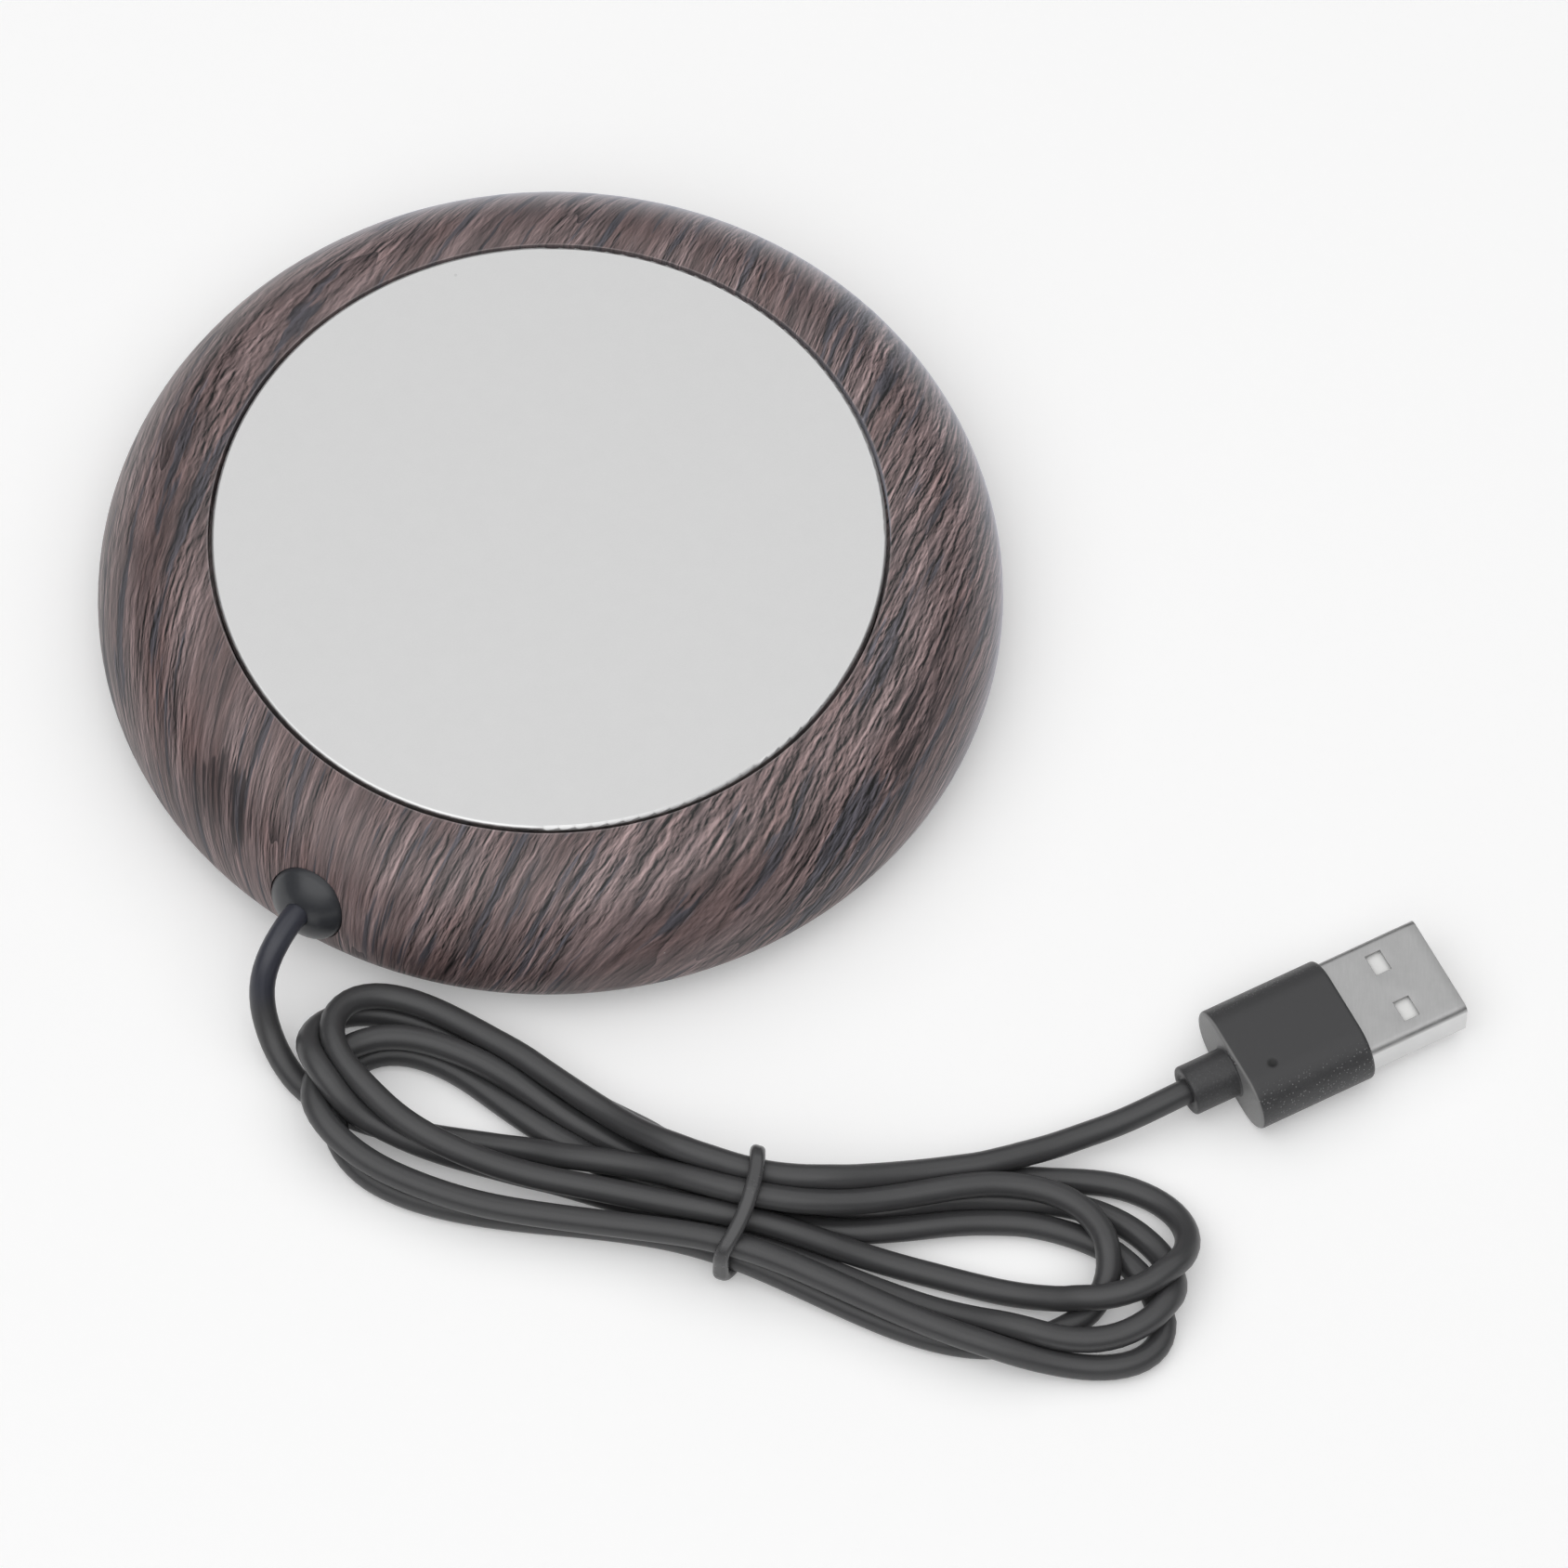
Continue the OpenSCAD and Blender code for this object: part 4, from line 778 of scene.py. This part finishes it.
def wood_film(look):
    """Printed wood film on the crown. On a plan that sways slowly across the grain and ripples in places lie
    light and middle zones, dark strands, blue-grey dashes, growth lines with a painted highlight along one edge,
    and darker patches. Fine fibres get painted shade on one side of each and a painted highlight on the other, as
    if lit from one side, more in patches and towards the right. The edge at the plate is painted pale as a
    highlight, a few painted glints lie on top, and a cool sheen grows towards the back on the right."""
    material, g, shader = new_finish("wood film", look.roughness)
    place = in_mm(g)
    r, across, along = film_plan(g, place, look.grain_turn)
    plan = g.node("CombineXYZ", {0: across, 1: along})

    def shifted(sizes, reach):
        """The plan moved across the grain by a noise of its own."""
        sway = g.times(g.minus(g.stretched(plan, sizes), 0.5), reach)
        return g.vector("ADD", plan, g.node("CombineXYZ", {0: sway}))

    plan = shifted((0.05, 0.02, 1), 4.5)
    rippled = g.spread(g.stretched(plan, (0.06, 0.03, 1)), 0.42, 0.62, 0.08, 0.45)
    plan = shifted((0.7, 0.35, 1), rippled)

    def fibres(sizes, low, high, detail=3.0, aside=0.0):
        """A mask of fibres by their sizes across and along, read a little aside across the grain."""
        vector = g.vector("ADD", plan, (aside, 0.0, 0.0)) if aside else plan
        return g.fibres(vector, *sizes, low, high, detail)

    def relief(sizes, low, high, aside):
        """Fibres less the same fibres a little aside: painted shade on one edge of each and a painted
        highlight on the other.
        """
        return g.minus(fibres(sizes, low, high, 4.0), fibres(sizes, low, high, 4.0, aside))

    colour = g.mix(fibres((0.22, 0.02), 0.36, 0.64), look.middle, look.light)
    strands = fibres((0.7, 0.09), 0.40, 0.64, 5.0)
    colour = g.mix(g.times(strands, 0.7), colour, look.dark)
    dashes = fibres((0.5, 0.035), 0.56, 0.60)
    colour = g.mix(g.times(dashes, 0.8), colour, look.streak)

    growth = g.plus(g.times(across, 0.06), g.times(g.stretched(plan, (0.16, 0.012, 1)), 7.0))
    saw = g.math("FRACT", growth)
    lines = g.times(g.math("POWER", saw, 11.0), fibres((0.3, 0.05), 0.35, 0.6))
    colour = g.mix(g.times(lines, 0.8), colour, look.ink)
    # Painted highlight: a light edge just after each growth line, as if the embossed line caught the light.
    painted_line_highlights = g.math("POWER", g.minus(1.0, saw), 26.0)
    colour = g.mix(g.times(painted_line_highlights, 0.5), colour, look.light)

    # Painted shade and highlight of an embossed grain, as if lit from one side, stronger in patches and towards the
    # right.
    relief_shading_strength = g.plus(g.spread(g.stretched(plan, (0.1, 0.03, 1)), 0.38, 0.6, 0.6, 1.6),
                   g.spread(g.part(place, 0), 5, 40, 0.0, 0.6))
    painted_relief_shading = g.plus(g.times(relief((0.9, 0.10), 0.44, 0.56, 0.26), 0.56),
                    g.times(relief((2.0, 0.22), 0.38, 0.62, 0.16), 0.74))
    colour = tint(g, g.plus(g.times(painted_relief_shading, relief_shading_strength), 1.0), colour)

    frayed = fibres((0.9, 0.09), 0.3, 0.7)
    hatched = g.spread(fibres((1.5, 0.03), 0.46, 0.54), 0.0, 1.0, 0.35, 1.0)
    for at_across, at_along, wide, long, strength in DARK_PATCHES_MM:
        u, v = (g.math("DIVIDE", g.minus(run, at), half)
                for run, at, half in ((across, at_across, wide), (along, at_along, long)))
        inside = g.spread(g.plus(g.plus(g.times(u, u), g.times(v, v)), frayed), 0.9, 1.2, 1.0, 0.0)
        colour = g.mix(g.times(g.times(inside, hatched), strength), colour, look.ink)

    # Painted highlight: a pale line on the film's edge next to the plate, where the sharp edge would catch the
    # light.
    edge = g.spread(r, CROWN_X_MM + 0.06, CROWN_X_MM + 0.22, 0.25, 0.0)
    colour = g.mix(edge, colour, (0.42, 0.38, 0.38))
    glints = g.specks(place, spacing=2.6, size=0.03, share=0.12)
    colour = g.mix(g.times(glints, 0.5), colour, (0.6, 0.56, 0.55))

    g.feed(shader.inputs["Sheen Weight"], g.spread(g.plus(g.part(place, 0), g.part(place, 1)), -10, 45, 0.0, 0.9))
    shader.inputs["Sheen Roughness"].default_value = 0.35
    shader.inputs["Sheen Tint"].default_value = (0.86, 0.88, 1.0, 1.0)
    height = g.plus(g.times(strands, -0.5), g.times(lines, -1.0))
    paint(g, shader, colour, g.spread(dashes, 0, 1, look.roughness - 0.05, look.roughness + 0.06),
          g.bump(height, 0.04 * MM, 0.35))
    return material


class WARMER_OT_housing(bpy.types.Operator):
    """Finishes the moulded housing with its wood-grain film"""
    bl_idname = "warmer.housing"
    bl_label = "Housing"

    def execute(self, context):
        dress(wood_film(context.scene.warmer_housing), "top_shell")
        return {"FINISHED"}


class WARMER_OT_plate(bpy.types.Operator):
    """Finishes the heating plate and the soft ring under its edge"""
    bl_idname = "warmer.plate"
    bl_label = "Heating plate"

    def execute(self, context):
        look = context.scene.warmer_plate
        dress(self.satin(look.colour, look.roughness), "heating_plate")
        dress(moulded("silicone ring", (0.02, 0.02, 0.02), 0.6, grain=3.0), "plate_gasket")
        return {"FINISHED"}

    def satin(self, colour, roughness):
        """Satin metal: fine even grain in tone, roughness and height, with a few dark specks."""
        material, g, shader = new_finish("satin plate", roughness, metallic=1.0)
        place = in_mm(g)
        grain = g.group("moulding", Vector=place, Grain=6.0, Contrast=0.12)
        specks = g.specks(place, spacing=6.0, size=0.03, share=0.25)
        shade = g.mix(g.times(specks, 0.25), tint(g, grain["Tone"], colour), (0.35, 0.35, 0.35))
        paint(g, shader, shade, g.spread(grain["Tone"], 0.95, 1.05, roughness - 0.04, roughness + 0.04),
              g.bump(grain["Height"], 0.01 * MM, 0.5))
        return material


class WARMER_OT_underside(bpy.types.Operator):
    """Finishes the base, its feet and screws, and the grommet"""
    bl_idname = "warmer.underside"
    bl_label = "Base, feet and grommet"

    def execute(self, context):
        dress(moulded("base moulding", (0.022, 0.022, 0.024), 0.55, grain=4.0, depth_mm=0.05, contrast=0.4),
              "base_cover", "cord_clamp")
        dress(moulded("rubber foot", (0.016, 0.016, 0.016), 0.75, grain=3.0, depth_mm=0.04, contrast=0.4),
              "rubber_feet")
        dress(moulded("grommet rubber", (0.036, 0.038, 0.043), 0.30, grain=2.0, depth_mm=0.004, contrast=0.15),
              "cord_grommet")
        dress(brushed("zinc screws", (0.55, 0.56, 0.58), 0.32), "base_screws", "retainer_screws", "clamp_screws")
        return {"FINISHED"}


class WARMER_OT_inside(bpy.types.Operator):
    """Finishes the heater, wires and fixings inside the housing"""
    bl_idname = "warmer.inside"
    bl_label = "Inner parts"

    def execute(self, context):
        cord = context.scene.warmer_cord
        dress(moulded("amber film", (0.42, 0.16, 0.025), 0.3, grain=1.0, depth_mm=0.004, contrast=0.2),
              "heater_film")
        dress(brushed("etched foil", (0.55, 0.52, 0.5), 0.4), "heater_track")
        dress(moulded("cutout body", (0.72, 0.7, 0.62), 0.5, grain=3.0, contrast=0.15), "thermal_cutout")
        dress(self.fibre_pad(), "insulation_pad")
        dress(brushed("zinc plate", (0.6, 0.61, 0.63), 0.35, across=3.0, along=0.2), "retainer_plate")
        dress(moulded("red wire", (0.42, 0.012, 0.01), 0.35, grain=2.0, depth_mm=0.006), "heater_lead_red")
        dress(moulded("black wire", (0.016, 0.016, 0.017), 0.35, grain=2.0, depth_mm=0.006), "heater_lead_black")
        dress(moulded("shrink sleeve", (0.02, 0.02, 0.022), 0.5, grain=2.5), "splice_sleeves")
        dress(moulded("jacket inside", cord.jacket, cord.roughness, grain=5.0, depth_mm=0.01), "cord_inside")
        return {"FINISHED"}

    def fibre_pad(self):
        """Pressed fibre: crossed stretched noises in tone and height."""
        material, g, shader = new_finish("pressed fibre", 0.9)
        place = in_mm(g)
        felt = g.plus(g.stretched(place, (3.0, 0.5, 1), detail=4.0), g.stretched(place, (0.5, 3.0, 1), detail=4.0))
        paint(g, shader, tint(g, g.spread(felt, 0.7, 1.3, 0.8, 1.1), (0.72, 0.69, 0.6)), None,
              g.bump(felt, 0.15 * MM, 0.7))
        return material


# ---------------------------------------------------------------- stage

class WARMER_OT_stage(bpy.types.Operator):
    """Sets the floor, the soft light and the camera"""
    bl_idname = "warmer.stage"
    bl_label = "Stage"

    def execute(self, context):
        scene, look = context.scene, context.scene.warmer_stage
        scene.view_settings.view_transform = "Standard"
        half_floor = 6
        corners = half_floor * np.array([(-1, -1, 0), (1, -1, 0), (1, 1, 0), (-1, 1, 0)], float)
        floor = self.stand("floor", corners, [(0, 1, 2, 3)], self.floor_finish(look))
        self.sky(scene, look)
        self.flags(look)
        self.lamp(scene, look.key)
        self.camera(scene)
        return {"FINISHED"}

    def stand(self, name, verts, faces, material):
        """An object of the stage."""
        mesh = bpy.data.meshes.new(name)
        mesh.from_pydata(verts.tolist(), [], faces)
        mesh.materials.append(material)
        thing = bpy.data.objects.new(name, mesh)
        bpy.context.scene.collection.objects.link(thing)
        return thing

    def floor_finish(self, look):
        """Matte white floor that shows shadows, raised to white where it is seen."""
        material = bpy.data.materials.new("white floor")
        material.use_nodes = True
        tree = material.node_tree
        tree.nodes.clear()
        g = Graph(tree)
        path = tree.nodes.new("ShaderNodeLightPath")
        seen = g.math("MAXIMUM", path.outputs["Is Camera Ray"],
                      g.math("MAXIMUM", path.outputs["Is Glossy Ray"], path.outputs["Is Transmission Ray"]))
        matte = g.node("BsdfDiffuse", {"Color": (*look.floor, 1)})
        lift = g.node("Emission", {"Color": (1, 1, 1, 1), "Strength": g.times(seen, look.floor_lift)})
        out = tree.nodes.new("ShaderNodeOutputMaterial")
        tree.links.new(g.node("AddShader", {0: matte, 1: lift}), out.inputs["Surface"])
        return material

    def sky(self, scene, look):
        """Even white sky."""
        world = bpy.data.worlds.new("soft sky")
        scene.world = world
        world.use_nodes = True
        back = world.node_tree.nodes["Background"]
        back.inputs["Color"].default_value = (1, 1, 1, 1)
        back.inputs["Strength"].default_value = look.sky

    def flags(self, look):
        """Round wall of dark flags about the stage, which keeps the light overhead: a circle carried upwards.
        Only surfaces see it, through their reflections and their share of the light."""
        count = 96
        turn = np.linspace(0, 2 * math.pi, count, endpoint=False)
        ring = look.flag_distance * np.stack([np.cos(turn), np.sin(turn)], axis=1)
        verts = np.vstack([np.column_stack([ring, np.full(count, h)]) for h in (0.0, look.flag_height)])
        k, after = np.arange(count), (np.arange(count) + 1) % count
        quads = np.stack([k, after, after + count, k + count], axis=1)
        material, _, shader = new_finish("flag cloth", 1.0)
        shader.inputs["Base Color"].default_value = (*look.flag_tone, 1)
        shader.inputs["Specular IOR Level"].default_value = 0
        wall = self.stand("flags", verts, quads.tolist(), material)
        wall.visible_camera = False

    def lamp(self, scene, power):
        """A square soft lamp at the front left that faces the warmer."""
        place, target, width = Vector((-0.4, -0.8, 1.35)), Vector((0, -0.02, 0)), 2.2
        light = bpy.data.lights.new("key lamp", "AREA")
        light.shape, light.size, light.energy = "SQUARE", width, power
        lamp = bpy.data.objects.new("key lamp", light)
        scene.collection.objects.link(lamp)
        lamp.location = place
        lamp.rotation_euler = (target - place).to_track_quat("-Z", "Y").to_euler()

    def camera(self, scene):
        """Long lens that looks down from in front at a point on the table, rolled a little about its own line."""
        pitch, roll = math.radians(60.77), math.radians(0.57)
        aim_x, aim_y, distance = 0.02598, -0.02094, 1.2261
        focal_px, frame_px, sensor_mm = 12000, 1688, 36
        lens = bpy.data.cameras.new("camera")
        lens.sensor_width, lens.lens, lens.clip_end = sensor_mm, focal_px / frame_px * sensor_mm, 20
        camera = bpy.data.objects.new("camera", lens)
        scene.collection.objects.link(camera)
        camera.location = (aim_x, aim_y - distance * math.cos(pitch), distance * math.sin(pitch))
        camera.rotation_euler = (Matrix.Rotation(math.pi / 2 - pitch, 3, "X")
                                 @ Matrix.Rotation(roll, 3, "Z")).to_euler()
        scene.camera = camera


# ---------------------------------------------------------------- panel and running

GROUPS = (("warmer_housing", WarmerHousing), ("warmer_plate", WarmerPlate), ("warmer_cord", WarmerCord),
          ("warmer_plug", WarmerPlug), ("warmer_stage", WarmerStage))
OPERATORS = (WARMER_OT_stage, WARMER_OT_plug, WARMER_OT_cord, WARMER_OT_housing, WARMER_OT_plate,
             WARMER_OT_underside, WARMER_OT_inside)


class WARMER_PT_looks(bpy.types.Panel):
    """Sizes and colours of the mug warmer, and the operators that make it"""
    bl_label = "Mug warmer"
    bl_idname = "WARMER_PT_looks"
    bl_space_type = "VIEW_3D"
    bl_region_type = "UI"
    bl_category = "Warmer"

    def draw(self, context):
        for name, group in GROUPS:
            box = self.layout.box()
            box.label(text=group.__doc__)
            for prop in group.__annotations__:
                box.prop(getattr(context.scene, name), prop)
        for operator in OPERATORS:
            self.layout.operator(operator.bl_idname)


def register():
    for name, group in GROUPS:
        bpy.utils.register_class(group)
        setattr(bpy.types.Scene, name, PointerProperty(type=group))
    for kind in (*OPERATORS, WARMER_PT_looks):
        bpy.utils.register_class(kind)


def unregister():
    for kind in (WARMER_PT_looks, *reversed(OPERATORS)):
        bpy.utils.unregister_class(kind)
    for name, group in reversed(GROUPS):
        delattr(bpy.types.Scene, name)
        bpy.utils.unregister_class(group)


def main():
    register()
    SHARED.update(fibres=make_fibres(), moulding=make_moulding(), specks=make_specks())
    bpy.ops.warmer.stage()
    bpy.ops.warmer.plug()
    bpy.ops.warmer.cord()
    bpy.ops.warmer.housing()
    bpy.ops.warmer.plate()
    bpy.ops.warmer.underside()
    bpy.ops.warmer.inside()


if __name__ == "__main__":
    main()
